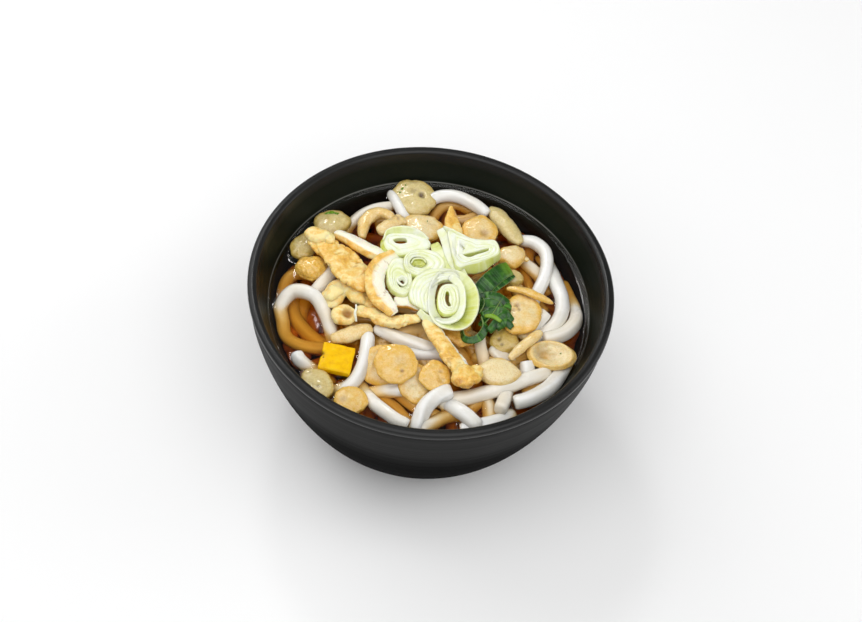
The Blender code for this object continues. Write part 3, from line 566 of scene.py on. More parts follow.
def mat_broth():
    """Clear broth: real refraction and absorption; lamp light reaches what is sunk in it."""
    m, nt, b = new_mat("amber_broth")
    b.inputs["Base Color"].default_value = (1.0, 1.0, 1.0, 1.0)
    b.inputs["Transmission Weight"].default_value = 1.0
    b.inputs["Roughness"].default_value = 0.0
    b.inputs["IOR"].default_value = 1.333
    ripple = tex_noise(nt, 90.0, 2.0, 0.5)
    bump(nt, b, (ripple, 0.05, 0.0004))
    out = nt.nodes["Material Output"]
    clear = node(nt, "ShaderNodeBsdfTransparent")
    path = nt.nodes.new("ShaderNodeLightPath")
    m1 = nt.nodes.new("ShaderNodeMixShader")
    m2 = nt.nodes.new("ShaderNodeMixShader")
    nt.links.new(path.outputs["Is Diffuse Ray"], m1.inputs[0])
    nt.links.new(b.outputs[0], m1.inputs[1])
    nt.links.new(clear.outputs[0], m1.inputs[2])
    nt.links.new(path.outputs["Is Shadow Ray"], m2.inputs[0])
    nt.links.new(m1.outputs[0], m2.inputs[1])
    nt.links.new(clear.outputs[0], m2.inputs[2])
    nt.links.new(m2.outputs[0], out.inputs["Surface"])
    vol = node(nt, "ShaderNodeVolumeAbsorption")
    density = 420.0
    take = (34.0, 98.0, 300.0)                      # 1/m, red, green, blue
    vol.inputs["Color"].default_value = (*[1.0 - x / density for x in take], 1.0)
    vol.inputs["Density"].default_value = density
    nt.links.new(vol.outputs[0], out.inputs["Volume"])
    return m


def mat_core():
    m, nt, b = new_mat("noodles_below")
    soft = tex_noise(nt, 180.0, 3.0, 0.55)
    col = ramp(nt, soft, (0.30, (0.50, 0.42, 0.28)), (0.70, (0.66, 0.58, 0.44)))
    nt.links.new(col, b.inputs["Base Color"])
    nt.links.new(remap(nt, soft, 0.3, 0.7, 0.4, 0.55), b.inputs["Roughness"])
    return m


# ================================================================ bowl
INNER_LOW = 34.0


def outer_radius(z):
    t = np.clip(np.asarray(z, float) / RIM_Z, 0.0, 1.0)
    return 36.0 + (RIM_R - 36.0) * (1.0 - (1.0 - t) ** 1.55) ** (1.0 / 1.56)


def wall(z):
    return 3.9 + 3.1 * sstep(0.0, 1.0, (RIM_Z - 1.0 - np.asarray(z, float)) / 15.5)


def inner_radius(z):
    z = np.asarray(z, float)
    k = np.clip((INNER_LOW - z) / (INNER_LOW - FLOOR_Z), 0.0, 1.0)
    return np.where(z >= INNER_LOW, outer_radius(z) - wall(z),
                    (outer_radius(INNER_LOW) - wall(INNER_LOW)) * np.sqrt(np.clip(1.0 - k ** 2.4, 0.0, 1.0)))


def revolve(geo, prof, steps):
    """Closed solid of revolution from a profile whose first and last points are on the axis."""
    prof = np.array(prof, float)
    body = prof[1:-1]
    a = np.linspace(0, 2 * math.pi, steps, endpoint=False)
    x = body[:, 0][:, None] * np.cos(a)
    y = body[:, 0][:, None] * np.sin(a)
    z = np.broadcast_to(body[:, 1][:, None], x.shape)
    ring = np.stack([x, y, z], -1).reshape(-1, 3)
    n = len(body)
    i, j = np.meshgrid(np.arange(n - 1), np.arange(steps), indexing="ij")
    j2 = (j + 1) % steps
    quads = np.stack([i * steps + j, i * steps + j2, (i + 1) * steps + j2, (i + 1) * steps + j], -1).reshape(-1, 4)
    top, bot = n * steps, n * steps + 1
    jj = np.arange(steps)
    jn = (jj + 1) % steps
    t1 = np.stack([np.full(steps, top), jn, jj], 1)
    off = (n - 1) * steps
    t2 = np.stack([np.full(steps, bot), off + jj, off + jn], 1)
    v = np.concatenate([ring, [[0, 0, prof[0, 1]], [0, 0, prof[-1, 1]]]])
    return geo, v, quads, np.concatenate([t1, t2])


def bowl_inside(low, high, rows):
    """Profile points of the inside surface, from the floor's middle up to a height."""
    th = np.linspace(0, math.pi / 2, 26)
    k = np.cos(th) ** (1.0 / 1.2)
    r0 = float(outer_radius(INNER_LOW) - wall(INNER_LOW))
    pts = [(r0 * math.sin(t), INNER_LOW - (INNER_LOW - FLOOR_Z) * kk) for t, kk in zip(th, k)]
    zs = np.linspace(INNER_LOW, high, rows)[1:]
    pts += [(float(inner_radius(z)), float(z)) for z in zs]
    return pts


def build_bowl():
    prof = bowl_inside(FLOOR_Z, RIM_Z - 1.5, 34)
    lip_in = float(inner_radius(RIM_Z - 1.4))
    half = (RIM_R - lip_in) / 2.0
    for a in np.linspace(172, 0, 15):
        ar = math.radians(a)
        prof.append((lip_in + half + half * math.cos(ar), RIM_Z - 1.5 + 1.5 * math.sin(ar) ** 0.9))
    prof += [(RIM_R, RIM_Z - 2.1), (RIM_R - 0.10, RIM_Z - 2.6), (RIM_R - 0.50, RIM_Z - 3.0),
             (RIM_R - 0.85, RIM_Z - 3.35), (RIM_R - 0.95, RIM_Z - 3.8), (RIM_R - 0.75, RIM_Z - 4.3)]
    z1 = RIM_Z - 5.0
    for z in np.concatenate([np.linspace(z1, 20.0, 34), np.linspace(20.0, 1.0, 22)[1:]]):
        prof.append((float(outer_radius(z)) - 0.25 * float(sstep(66.0, 72.0, z)), float(z)))
    fr = 35.6
    prof = [p for p in prof if not (p[1] < 1.0 + 1e-6 and p[0] > 34 and p is not prof[-1])]
    prof += [(fr + 0.3, 0.45), (fr - 0.1, 0.08), (fr - 0.5, 0.0), (31.6, 0.0), (31.2, 0.12), (30.9, 0.5), (30.0, 2.45), (29.3, 2.6)]
    prof += [(22.0, 2.6), (14.0, 2.6), (7.0, 2.6), (0.0, 2.6)]
    prof[0] = (0.0, FLOOR_Z)
    g = Geo()
    g, v, q, t = revolve(g, prof, 240)
    rad = np.hypot(v[:, 0], v[:, 1])
    lip = sstep(RIM_Z - 5.6, RIM_Z - 2.6, v[:, 2])
    inside = ((rad < inner_radius(np.minimum(v[:, 2], RIM_Z - 1.6)) + 0.8) & (v[:, 2] > FLOOR_Z - 1)).astype(float) * (1 - lip)
    # painted shade: colour darkening towards the bottom of the outside
    foot = sstep(74.0, 36.0, v[:, 2]) * (1 - inside)
    sheen = sstep(40.0, 74.0, v[:, 2]) ** 2.0 * (1 - inside) * (1 - lip)
    g.add(v, q[:, ::-1], t[:, ::-1], lip=lip, inside=inside, foot=foot, sheen=sheen, height=v[:, 2])
    return g


# ================================================================ noodles
def strand(geo, points, r, seed, step=1.0, k=18, tone=0.2, wander=0.35, flat=0.93, e=0.86):
    rs = np.random.RandomState(seed)
    _, length = smooth_line(points, 8)
    n = max(8, int(length / step))
    line, _ = smooth_line(points, n)
    line = line + wander * np.stack([noise(line, 9.0, seed), noise(line, 9.0, seed + 3), 0.6 * noise(line, 9.0, seed + 5)], 1)
    tan, side, up = line_frames(line)
    t = np.linspace(0, 1, n)
    cs, sn, ang = squircle(k, e)
    roll = rs.uniform(0, math.pi) + rs.uniform(-1.2, 1.2) * t + 0.5 * noise(line, 25.0, seed + 9)
    size = r * (1.0 + 0.035 * noise(line, 8.0, seed + 11) + 0.015 * noise(line, 2.6, seed + 12))
    cap = np.ones(n)
    cap[0], cap[-1] = 0.84, 0.84
    cap[1], cap[-2] = 0.97, 0.97
    size = size * cap
    ca, sa = np.cos(roll)[:, None], np.sin(roll)[:, None]
    u, w = size[:, None] * cs, size[:, None] * flat * sn
    # a soft groove along one face of some strands
    dent = rs.choice([0.0, 0.0, 0.08, 0.14])
    g = np.exp(-((ang - math.pi / 2) / 0.40) ** 2)
    w = w - size[:, None] * dent * g
    off = ((u * ca - w * sa)[..., None] * side[:, None, :] + (u * sa + w * ca)[..., None] * up[:, None, :])
    v = (line[:, None, :] + off).reshape(-1, 3)
    v = v + 0.03 * np.stack([noise(v, 1.8, seed + 21), noise(v, 1.8, seed + 22), noise(v, 1.8, seed + 23)], 1)
    quads = tube_faces(n, k)
    ends = np.array([line[0] - tan[0] * 0.15, line[-1] + tan[-1] * 0.15])
    j = np.arange(k)
    jn = (j + 1) % k
    tris = np.concatenate([np.stack([np.full(k, n * k), j, jn], 1),
                           np.stack([np.full(k, n * k + 1), (n - 1) * k + jn, (n - 1) * k + j], 1)])
    s = np.repeat(t * length, k)
    a2 = np.tile(ang, n)
    lines = noise(np.stack([np.cos(a2) * 2.6, np.sin(a2) * 2.6, s / 16.0 + seed], 1), 1.0, seed + 41)
    lines = 0.5 + 0.5 * np.clip(1.4 * lines, -1, 1)
    # amber soak colour near and under the broth line; a high value set per strand also darkens it as painted shade
    soak_and_shade_v = np.clip(tone + 0.22 * noise(v, 14.0, seed + 31) + 0.42 * sstep(1.8, -1.0, v[:, 2] - LEVEL) * sstep(-6.0, -2.0, v[:, 2] - LEVEL) - 0.12, 0, 1)
    geo.add(np.concatenate([v, ends]), quads, tris, tone=np.concatenate([soak_and_shade_v, [tone, tone]]),
            groove=np.concatenate([np.tile(g * (dent > 0), n), [0, 0]]), streak=np.concatenate([lines, [0.6, 0.6]]))
    return line


STRANDS = [
    ("n1", 3.35, .25, [(-29.5,-21.5,55),(-36.5,-24,57),(-43,-25.5,57.4),(-51,-25,57.6),(-57.5,-22,57.8),(-61.0,-16,59.4),(-60.8,-9,62.6),(-56.3,-3,66.4),(-47.5,-5,68),(-42,-11,66),(-39,-17,63.5),(-36.5,-22.5,60),(-33.5,-28.5,57)]),
    ("n2", 3.2, .35, [(-54,4,58.5),(-56.5,-2.5,58),(-54,-11,57.2),(-49,-17,56.6),(-43,-21.5,56.4),(-36,-24,56),(-29,-25.5,55)]),
    ("n3", 2.9, .25, [(-50.5,-34,66.8),(-49.5,-36,66),(-47.5,-37,64.5),(-44,-38,62),(-39.5,-39,59),(-34.5,-41.5,56.5)]),
    ("n4", 2.95, .05, [(-23,-20.5,66.8),(-23.0,-28.5,67),(-23.5,-36.0,66.2),(-25.8,-42,64.4),(-29.5,-45.5,61.8),(-35,-46.2,59.0),(-40.5,-45,56.5)]),
    ("n5a", 3.0, .2, [(-20,-16.5,67),(-16.5,-18.5,67.4),(-11.5,-21,68),(-4.5,-23,68),(2,-24,67),(8,-23.5,64),(14,-22.5,60)]),
    ("n5b", 2.95, .3, [(-13,-24.5,64.5),(-8,-26,66),(-1.5,-26,66.4),(4,-25.5,66.4),(9,-25.5,65),(14,-26,62)]),
    ("n6", 3.4, .0, [(13,-44.5,68.9),(10,-46,68.8),(7,-48,68.2),(4,-51.5,66.8),(2.5,-55.5,65.2),(1.5,-60,62.8),(0.5,-63,60)]),
    ("n7", 3.3, .40, [(9,-48.5,63.4),(14.5,-45.6,64.8),(19.5,-44.2,65.4),(24.5,-42.2,65.6),(33,-38,65.8),(41.5,-33,65.8),(48.5,-29,65.6),(51,-27,65.2)]),
    ("n8", 3.3, .15, [(38.5,-45,66.7),(43,-43,66.9),(48,-39.5,66.9),(52.5,-35,66.4),(56,-30,65.2),(59.0,-23.5,63),(60.5,-15.5,60.5)]),
    ("n9", 3.1, .3, [(33,-50,67.5),(34,-45,66),(35,-40,64.2),(36,-33.5,62),(37.5,-26.5,60)]),
    ("n10a", 3.1, .2, [(44.5,36.5,57),(48,30,62),(51,20.5,65.6),(54,11.5,66.7),(54.5,3.5,66.8),(52,-4,66.5),(48.5,-7.5,65),(44,-10.5,62.8),(39,-13,60)]),
    ("n10b", 3.15, .2, [(54.5,24,57.5),(58,15.5,59.0),(61,6.5,62.8),(60.5,-1,65.8),(57,-7,66.9),(51.5,-10.5,66.9),(48,-12,66.9)]),
    ("n11", 2.95, .05, [(31.5,44,59.5),(35.5,41.5,63),(41,39,66.2),(45.5,34,67.6),(47,28,67.8),(46.5,20.5,67.6),(44.5,13.5,66.8),(42.5,8,65),(40,3.5,62)]),
    ("n12", 2.75, .05, [(-8.5,52,65),(-3,57,66.8),(2.5,58.5,67.6),(8.5,57.5,68),(14.5,54.5,67.8),(20,50.5,67.2)]),
    ("n13", 2.6, .2, [(-22,57,66),(-20,53.5,66.9),(-18,49.5,67),(-16,45.5,66.6),(-13,43,64)]),
    ("n14", 2.6, .3, [(-39.5,33,60),(-38,38,62.4),(-35,42.5,64.5),(-31,46,65.4),(-26,49,65),(-20,52.5,63)]),
    ("n15", 2.6, .4, [(-3.5,46.5,60),(-2,51.5,61.2),(0.5,55.5,61.7),(4,57.5,61.9),(8.5,57.5,61.7),(13,55,61),(19,51.5,60)]),
    ("n16", 3.2, .2, [(-26.0,-36,56),(-21.5,-45.0,60.4),(-17,-51.5,63.6),(-11.8,-56.2,65.2),(-7,-59.5,65.8),(-2.5,-61,65.4)]),
    ("n17", 3.2, .3, [(-22.5,-47,60.6),(-18,-46,61),(-13.5,-44.5,62.3),(-10,-44,63.8),(-6.5,-43.5,65),(-3.5,-40.5,64)]),
    ("n18", 3.2, .25, [(8,-46,62.5),(12.5,-48,64.4),(17,-51.5,65.8),(20.5,-54,66.0),(23.5,-56.5,65.6),(26.0,-58,64)]),
    ("n19", 3.0, .4, [(21,-48,60.2),(23.5,-44.5,61.2),(27,-42.5,61.8),(29,-45.5,62.2),(29.5,-49.5,62),(29.5,-54,61)]),
    ("n20", 3.2, .2, [(19,-60.0,62.4),(24.5,-58.0,63.6),(30,-56,64.0),(34.5,-53,63.4),(39.5,-48.5,61.5)]),
    ("n21", 2.95, .3, [(-37.5,16.5,66),(-40.5,11.5,66.6),(-43.5,6,66.4),(-46.5,1,64.8),(-49.5,-2,61)]),
    ("n22", 3.05, .2, [(48.5,1,68.6),(47,-1,67.3),(45,-4,65.5),(42.5,-7,63)]),
    ("n23", 3.1, .3, [(42,-24.5,67.8),(42.5,-26,66.9),(43,-28.5,65.2),(43.5,-31,62)]),
    ("n24", 2.9, .5, [(22,-13.5,66),(23,-18.5,65.6),(24.5,-23.5,64.6),(26,-28,62.5),(29,-33.5,60)]),
    ("n24b", 2.9, .5, [(28,-18,65),(31,-21,64.6),(35,-23,63.8),(39.5,-24,62)]),
    ("n26", 3.1, .4, [(-61.5,-5,56),(-61.5,2,58.6),(-59,8.5,59.6),(-54,11,60),(-48.5,10,60.2),(-42.5,5.5,60)]),
    ("n27", 2.9, .4, [(35.5,33.5,61.8),(38,30,62.6),(42,26,62.8),(46,21.5,61.4),(49.5,15.5,60)]),
    ("n28", 2.9, .4, [(41,44,58),(39,34.5,58.5),(39,23.5,58.5),(43,13,59),(48.5,5.5,60)]),
    ("n29", 3.2, .4, [(57,-10.5,58),(56.5,-20,60),(53.5,-27.5,61),(49,-33,61),(42.5,-37.5,60)]),
    ("n30", 3.2, .3, [(-8.5,-42.5,60.4),(-4,-46.5,60.6),(0.5,-49.5,60.4),(6,-51.5,60),(12,-54,59)]),
    ("n31", 3.2, .3, [(-18.5,-45.5,58.5),(-13.5,-48,59),(-9,-51,59.2),(-5.5,-54.5,59),(-1,-58,58)]),
    ("n32", 3.2, .3, [(2,-60.5,62.5),(6.5,-57,61.8),(11,-53,61.2),(16.5,-51,60.8),(23,-51.5,60.4)]),
    # n33 to n39 lie under the toppings: their high soak value darkens them as painted shade
    ("n33", 3.2, .95, [(-16.5,-14,60),(-12,-19,60.5),(-8,-24.5,61),(-3.5,-30,61),(2.5,-31,60.5),(10,-29.5,60)]),
    ("n34", 3.1, .95, [(-33.5,-13,61),(-27.5,-10,62),(-19.5,-10,62.2),(-11,-11.5,62),(-1,-11.5,61),(9,-10,60)]),
    ("n35", 3.0, .95, [(-41.5,-1,61),(-37.5,-7.5,62),(-32.5,-12,62),(-28.5,-16.5,61),(-28,-23,59)]),
    ("n36", 2.8, .95, [(-27,41,62),(-20.5,42.5,63),(-14,44.5,63),(-9,50.5,62.5),(-6.5,57.5,61)]),
    ("n37", 2.8, .95, [(5,48.5,62),(11,49,63),(16.5,53.0,62.5),(22,52,61),(27,46,60)]),
    ("n38", 3.0, .95, [(25.5,29.5,62),(30,25.5,62.5),(36,15,63),(37,7,63),(34.5,-1.5,62.5)]),
    ("n39", 3.2, .95, [(20.5,-22,62),(26.5,-24.5,62.6),(33,-24.5,62.8),(39.5,-21,62),(45.5,-14.5,61)]),
    ("n40", 3.1, .4, [(-52,-15,55.5),(-52,-5.5,56.5),(-49,1,57),(-44.5,3.5,57),(-39,0.5,57)]),
]


def keep_in(points, r):
    """Pull a route's points in so that a strand of radius r stays clear of the bowl's wall."""
    out = []
    for x, y, z in points:
        lim = float(inner_radius(z)) - r - 0.6
        d = math.hypot(x, y)
        f = min(1.0, lim / d) if d > 0 else 1.0
        out.append((x * f, y * f, z))
    return out


_heap = BVHTree.FromObject(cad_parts["noodles"], bpy.context.evaluated_depsgraph_get())


def heap_top(x, y):
    """Height of the CAD heap's top at (x, y), in mm."""
    hit = _heap.ray_cast(Vector((x * MM, y * MM, 0.2)), Vector((0, 0, -1)))[0]
    return hit.z / MM if hit is not None else 58.0


def build_noodles():
    top = Geo()
    for i, (_, r, tone, pts) in enumerate(STRANDS):
        strand(top, keep_in(pts, r), r, 100 + i, tone=tone)
    # strands below the top layer: their high soak value is partly soak colour and partly painted shade between the
    # toppings
    deep = Geo()
    rs = np.random.RandomState(4)
    count = 0
    for drop, num, fine_k in ((0.0, 46, 12), (5.8, 32, 10), (11.5, 26, 8)):
        for _ in range(num):
            a = rs.uniform(0, 2 * math.pi)
            rad = (44.0 if drop == 0.0 else 54.0) * math.sqrt(rs.uniform(0, 1))
            cx, cy = rad * math.cos(a), rad * math.sin(a)
            head = rs.uniform(0, 2 * math.pi)
            turn = rs.uniform(-0.035, 0.035)
            x, y, pts = cx, cy, []
            lift = rs.uniform(0.0, 1.6)
            for _s in range(9):
                d = math.hypot(x, y)
                top_z = heap_top(x, y)
                z = min(top_z, 60.0 + 9.0 * float(sstep(46.0, 20.0, d))) - 3.4 - lift - 1.5 * float(sstep(34.0, 50.0, d)) - drop
                pts.append((x, y, z + rs.uniform(-0.5, 0.5)))
                x += 9.0 * math.cos(head)
                y += 9.0 * math.sin(head)
                head += 9.0 * turn + rs.uniform(-0.22, 0.22)
                if math.hypot(x, y) > 55:
                    head += 0.75 * (1 if turn > 0 else -1)
            strand(deep, keep_in(pts, 3.1), rs.uniform(2.7, 3.3), 400 + count, step=1.6, k=fine_k, tone=rs.uniform(0.75, 1.0) if drop == 0.0 else rs.uniform(0.5, 0.8))
            count += 1
    core = Geo()
    prof = [(0.0, 49.0), (8, 49.0), (16, 48.8), (24, 48.4), (32, 47.6), (40, 46.4), (47, 44.4), (52, 41.6), (54, 38.0),
            (52, 32.0), (47, 26.0), (40, 20.5), (30, 16.5), (20, 14.5), (10, 13.6), (0.0, 13.4)]
    fine = []
    for (r0, z0), (r1, z1) in zip(prof[:-1], prof[1:]):
        for k in range(4):
            fine.append((r0 + (r1 - r0) * k / 4.0, z0 + (z1 - z0) * k / 4.0))
    fine.append(prof[-1])
    core, v, q, t = revolve(core, fine[::-1], 120)
    n = vertex_normals(v, q, t)
    c = cells(v * (1.0, 0.35, 1.0), 4.5, 9)
    v = v + n * (1.1 * (0.5 - c) + 0.7 * noise(v, 7.0, 5))[:, None]
    core.add(v, q, t)
    return top, deep, core


# ================================================================ toppings: shapes
def outline(lon, wob, seed):
    return 1.0 + wob * (0.6 * np.cos(2 * lon + 1.7 * seed) + 0.5 * np.cos(3 * lon + 2.9 * seed)
                        + 0.35 * np.cos(5 * lon + 0.7 * seed))


def crust(v, q, seed, big=0.16, knob=0.07, fine=0.05, t=None):
    """Pushes a surface in and out along its normals: the bumps and grain of a fried crust."""
    n = vertex_normals(v, q, t)
    d = big * fbm(v, 3.4, seed, 2) + knob * (0.45 - cells(v, 1.7, seed + 5)) + fine * noise(v, 0.75, seed + 9)
    return v + n * d[:, None]


def puff(a, b, h, yaw=0.0, tx=0.0, ty=0.0, wob=0.06, seed=1, pits=(), cup=0.0, flat=0.86, taper=0.0,
         n=30, big=0.42, knob=0.14, fine=0.06, rim=0.0, tint=0.0, rays=0.0):
    """A drop of fried batter: a domed disc with an uneven edge. pits = (x, y, radius, depth, darkness)."""
    d, q = cube_sphere(n)
    lon = np.arctan2(d[:, 1], d[:, 0])
    c = np.sqrt(np.clip(1.0 - d[:, 2] ** 2, 0.0, 1.0))
    s = d[:, 2]
    o = outline(lon, wob, seed)
    rr = c ** flat
    x = a * rr * np.cos(lon) * o
    y = b * rr * np.sin(lon) * o
    if taper:
        y = y * (1.0 - taper * (x / a) ** 2)
    z = h * spow(s, 0.85)
    top = np.clip(2.0 * s, 0.0, 1.0)
    hole = np.zeros(len(x))
    for px, py, pr, depth, dark in pits:
        d2 = ((x - px) ** 2 + (y - py) ** 2) / pr ** 2 * (1.0 + 0.25 * noise(np.stack([x, y, z], 1), 0.9, seed + 50))
        z = z - depth * np.exp(-d2) * top
        hole = np.maximum(hole, dark * np.exp(-0.8 * d2 ** 1.4) * top)
        if rays:
            az = np.arctan2(y - py, x - px)
            z = z + rays * noise(np.stack([np.cos(az) * 3, np.sin(az) * 3, np.sqrt(d2) * 0.4], 1), 1.0, seed + 51) * np.exp(-d2 / 6.0) * top
    e = np.sqrt((x / a) ** 2 + (y / b) ** 2)
    z = z + rim * np.exp(-((e - 0.82) / 0.14) ** 2) * top
    z = z + cup * e ** 2
    v = np.stack([x, y, z], 1)
    v = crust(v, q, seed * 13, big, knob, fine)
    # golden towards the rim and underside: partly browning, partly painted shade
    low = np.clip(sstep(0.60, 0.98, e) * 0.85 + sstep(0.30, -0.40, z / h) * 0.8, 0, 1)
    return rotated(v, yaw, tx, ty), q, None, dict(low=low, pit=hole, tint=np.full(len(v), tint))


def strip(points, w, h, roll=0.0, blunt=4.0, box=1.0, lump=0.0, seed=1, k=34, step=0.42,
          big=0.26, knob=0.12, fine=0.06, cut="sides", crease=0.0, pits=(), tint=0.3, ruffle=0.0, band=(0.1, 0.5)):
    """A bar swept along a route, closed at both ends, with a rough skin."""
    _, length = smooth_line(points, 8)
    n = max(14, int(length / step))
    s = np.linspace(-1, 1, n + 2)
    s = 0.45 * s + 0.55 * np.sin(s * math.pi / 2)
    s = s[1:-1]
    t = (s + 1) / 2
    fine_line, _ = smooth_line(points, 400)
    tt = np.linspace(0, 1, 400)
    line = np.stack([np.interp(t, tt, fine_line[:, i]) for i in range(3)], 1)
    tan = np.gradient(fine_line, axis=0)
    tan /= np.linalg.norm(tan, axis=1)[:, None]
    tan = np.stack([np.interp(t, tt, tan[:, i]) for i in range(3)], 1)
    tan /= np.linalg.norm(tan, axis=1)[:, None]
    side = np.cross(tan, (0.0, 0.0, 1.0))
    side /= np.linalg.norm(side, axis=1)[:, None]
    up = np.cross(side, tan)
    end = np.clip(1.0 - np.abs(s) ** blunt, 0.0, 1.0) ** (1.0 / blunt)
    cs, cu, ang = squircle(k, box)
    r = np.radians(along_list(roll, t))[:, None]
    wo = 1.0 + lump * np.sin(9.0 * t[:, None] + 2.1 * seed + 2.0 * ang) + lump * np.cos(15.0 * t[:, None] + seed)
    ww = along_list(w, t)[:, None] * wo * end[:, None] * cs
    hh = along_list(h, t)[:, None] * wo * end[:, None] * cu
    off = ((ww * np.cos(r) - hh * np.sin(r))[..., None] * side[:, None, :]
           + (ww * np.sin(r) + hh * np.cos(r))[..., None] * up[:, None, :])
    v = (line[:, None, :] + off).reshape(-1, 3)
    quads = tube_faces(n, k)
    ends = np.array([np.array(points[0], float), np.array(points[-1], float)])
    j = np.arange(k)
    jn = (j + 1) % k
    tris = np.concatenate([np.stack([np.full(k, n * k), j, jn], 1),
                           np.stack([np.full(k, n * k + 1), (n - 1) * k + jn, (n - 1) * k + j], 1)])
    v = np.concatenate([v, ends])
    s_all = np.concatenate([np.repeat(s, k), [-1, 1]])
    cs_all = np.concatenate([np.tile(cs, n), [0, 0]])
    cu_all = np.concatenate([np.tile(cu, n), [0, 0]])
    t_all = (s_all + 1) / 2
    cutm = np.zeros(len(v))
    if cut == "sides":
        cutm = np.clip(sstep(0.86, 0.99, np.abs(cs_all)) * sstep(0.97, 0.6, np.abs(cu_all)), 0, 1)
    if cut in ("right", "left"):
        c2 = cs_all if cut == "right" else -cs_all
        cutm = sstep(band[0], band[1], c2) * sstep(-0.9, -0.5, cu_all)
    if cut == "top":
        cutm = sstep(0.05, 0.40, cu_all) * sstep(0.99, 0.74, np.abs(cs_all))
    if cut in ("sides", "ends", "left", "right", "top"):
        cutm = np.maximum(cutm, sstep(0.965, 0.995, np.abs(s_all)))
    nrm = vertex_normals(v, quads, tris)
    if crease:
        w1 = np.abs(noise(v * (1.0, 1.0, 0.6), 3.0, seed + 40))
        v = v - nrm * (crease * np.exp(-(w1 / 0.10) ** 2))[:, None]
    pit = np.zeros(len(v))
    # crease lines darkened in colour: painted shade in the folds
    if crease:
        pit = 0.55 * np.exp(-(w1 / 0.06) ** 2) * sstep(-0.1, 0.4, noise(v, 4.5, seed + 44)) * sstep(-0.2, 0.3, cu_all)
    for (pt, pr, pd) in pits:
        up_all = np.clip(cu_all, 0, 1)
        d2 = ((t_all - pt) * length / pr) ** 2 + (cs_all * np.mean(w) / pr) ** 2
        m = np.exp(-d2) * up_all
        v = v - nrm * (pd * m)[:, None]
        pit = np.maximum(pit, m)
    v = crust(v, quads, seed * 13, big, knob, fine, tris)
    if ruffle:
        v = v + nrm * (ruffle * noise(v * (0.55, 0.55, 1.0), 2.2, seed + 60) * sstep(0.3, 0.95, np.abs(cs_all)))[:, None]
    # darker gold towards the underside: partly browning, partly painted shade
    low = np.clip(sstep(0.15, -0.7, cu_all), 0, 1)
    return v, quads, tris, dict(low=low, pit=pit, cut=cutm, tint=np.clip(along_list(tint, t_all) + 0.35 * low, 0, 1))


def band(points, width, thick, axis=(0, 0, 1), closed=True, seed=1, lean=0.0, step=0.45, wave=0.25, fold=0.0, flip=False, green=0.6):
    """One onion layer: a thin wall bent along a line, `width` mm across, fibres running across it."""
    _, length = smooth_line(points, 8, closed)
    n = max(16, int(length / step))
    line, _ = smooth_line(points, n, closed)
    tan, _, _ = line_frames(line, closed)
    t = np.arange(n) / n if closed else np.linspace(0, 1, n)
    ax = np.array(axis, float)
    if ax.ndim == 1:
        ax = np.tile(ax, (n, 1))
    else:
        x = np.linspace(0, 1, len(ax))
        ax = np.stack([np.interp(t, x, ax[:, i]) for i in range(3)], 1)
    ax = ax - tan * (ax * tan).sum(1)[:, None]
    ax /= np.linalg.norm(ax, axis=1)[:, None]
    outw = np.cross(tan, ax)
    if flip:
        outw = -outw
    le = np.radians(along_list(lean, t))[:, None]
    ax, outw = ax * np.cos(le) + outw * np.sin(le), outw * np.cos(le) - ax * np.sin(le)
    # section: a thin rounded bar, 18 points
    vv = np.array([-1, -0.86, -0.6, -0.2, 0.2, 0.6, 0.86, 1, 1, 1, 0.86, 0.6, 0.2, -0.2, -0.6, -0.86, -1, -1])
    uu = np.array([-0.55, -1, -1, -1, -1, -1, -1, -0.55, 0, 0.55, 1, 1, 1, 1, 1, 1, 0.55, 0])
    k = len(vv)
    wd = along_list(width, t) * (1.0 + 0.05 * noise(line, 4.0, seed + 2))
    th = along_list(thick, t) * (1.0 + 0.16 * noise(line, 3.0, seed + 3))
    if not closed:
        e = np.clip(np.minimum(t, 1 - t) * length / (0.6 * np.mean(th)), 0, 1)
        taper = np.sqrt(np.clip(1 - (1 - e) ** 2, 0, 1))
        taper[0] = taper[-1] = 0.35
        th = th * (0.15 + 0.85 * taper)
        wd = wd * (0.80 + 0.20 * taper)
    ripple = wave * noise(line, 2.6, seed + 6)
    curve = 1.0 - (vv * vv)
    off = (outw[:, None, :] * (uu[None, :] * th[:, None] / 2.0 + (fold * curve)[None, :] + (ripple[:, None] * curve[None, :]))[..., None]
           + ax[:, None, :] * (vv[None, :] * wd[:, None] / 2.0)[..., None])
    v = (line[:, None, :] + off).reshape(-1, 3)
    s = np.arange(n) * (length / n)
    rib = noise(np.stack([s / 0.42, np.full(n, 3.1 * seed), np.full(n, 0.5)], 1), 1.0, seed + 8)
    rib2 = noise(np.stack([s / 1.3, np.full(n, 1.7 * seed), np.full(n, 0.5)], 1), 1.0, seed + 10)
    ribv = np.repeat(rib, k) * 0.65 + np.repeat(rib2, k) * 0.35
    gr = along_list(green, t)
    if closed and len(np.atleast_1d(green)) > 1:
        gr = np.interp(t, np.linspace(0, 1, len(green) + 1), list(green) + [green[0]])
    outm = np.repeat(gr, k) * (0.30 + 0.70 * np.tile((uu + 1) / 2, n))
    edge = np.tile((np.abs(vv) > 0.93).astype(float), n)
    quads = tube_faces(n, k, closed)
    if not flip:
        quads = quads[:, ::-1]
    nrm = vertex_normals(v, quads)
    v = v + nrm * (0.05 * ribv * (1 - edge))[:, None]
    v = v + 0.05 * np.stack([noise(v, 1.1, seed + 21), noise(v, 1.1, seed + 22), noise(v, 1.1, seed + 23)], 1)
    tris = None
    attrs = dict(out=outm, edge=edge, fibre=np.clip(0.5 + 0.5 * ribv, 0, 1))
    if not closed:
        caps = np.array([v[:k].mean(0), v[-k:].mean(0)])
        j = np.arange(k)
        jn = (j + 1) % k
        base = len(v)
        a = np.stack([np.full(k, base), j, jn], 1)
        b = np.stack([np.full(k, base + 1), (n - 1) * k + jn, (n - 1) * k + j], 1)
        tris = np.concatenate([a, b])
        if not flip:
            tris = tris[:, ::-1]
        v = np.concatenate([v, caps])
        attrs = {key: np.concatenate([x, [0.5, 0.5]]) for key, x in attrs.items()}
    return v, quads, tris, attrs


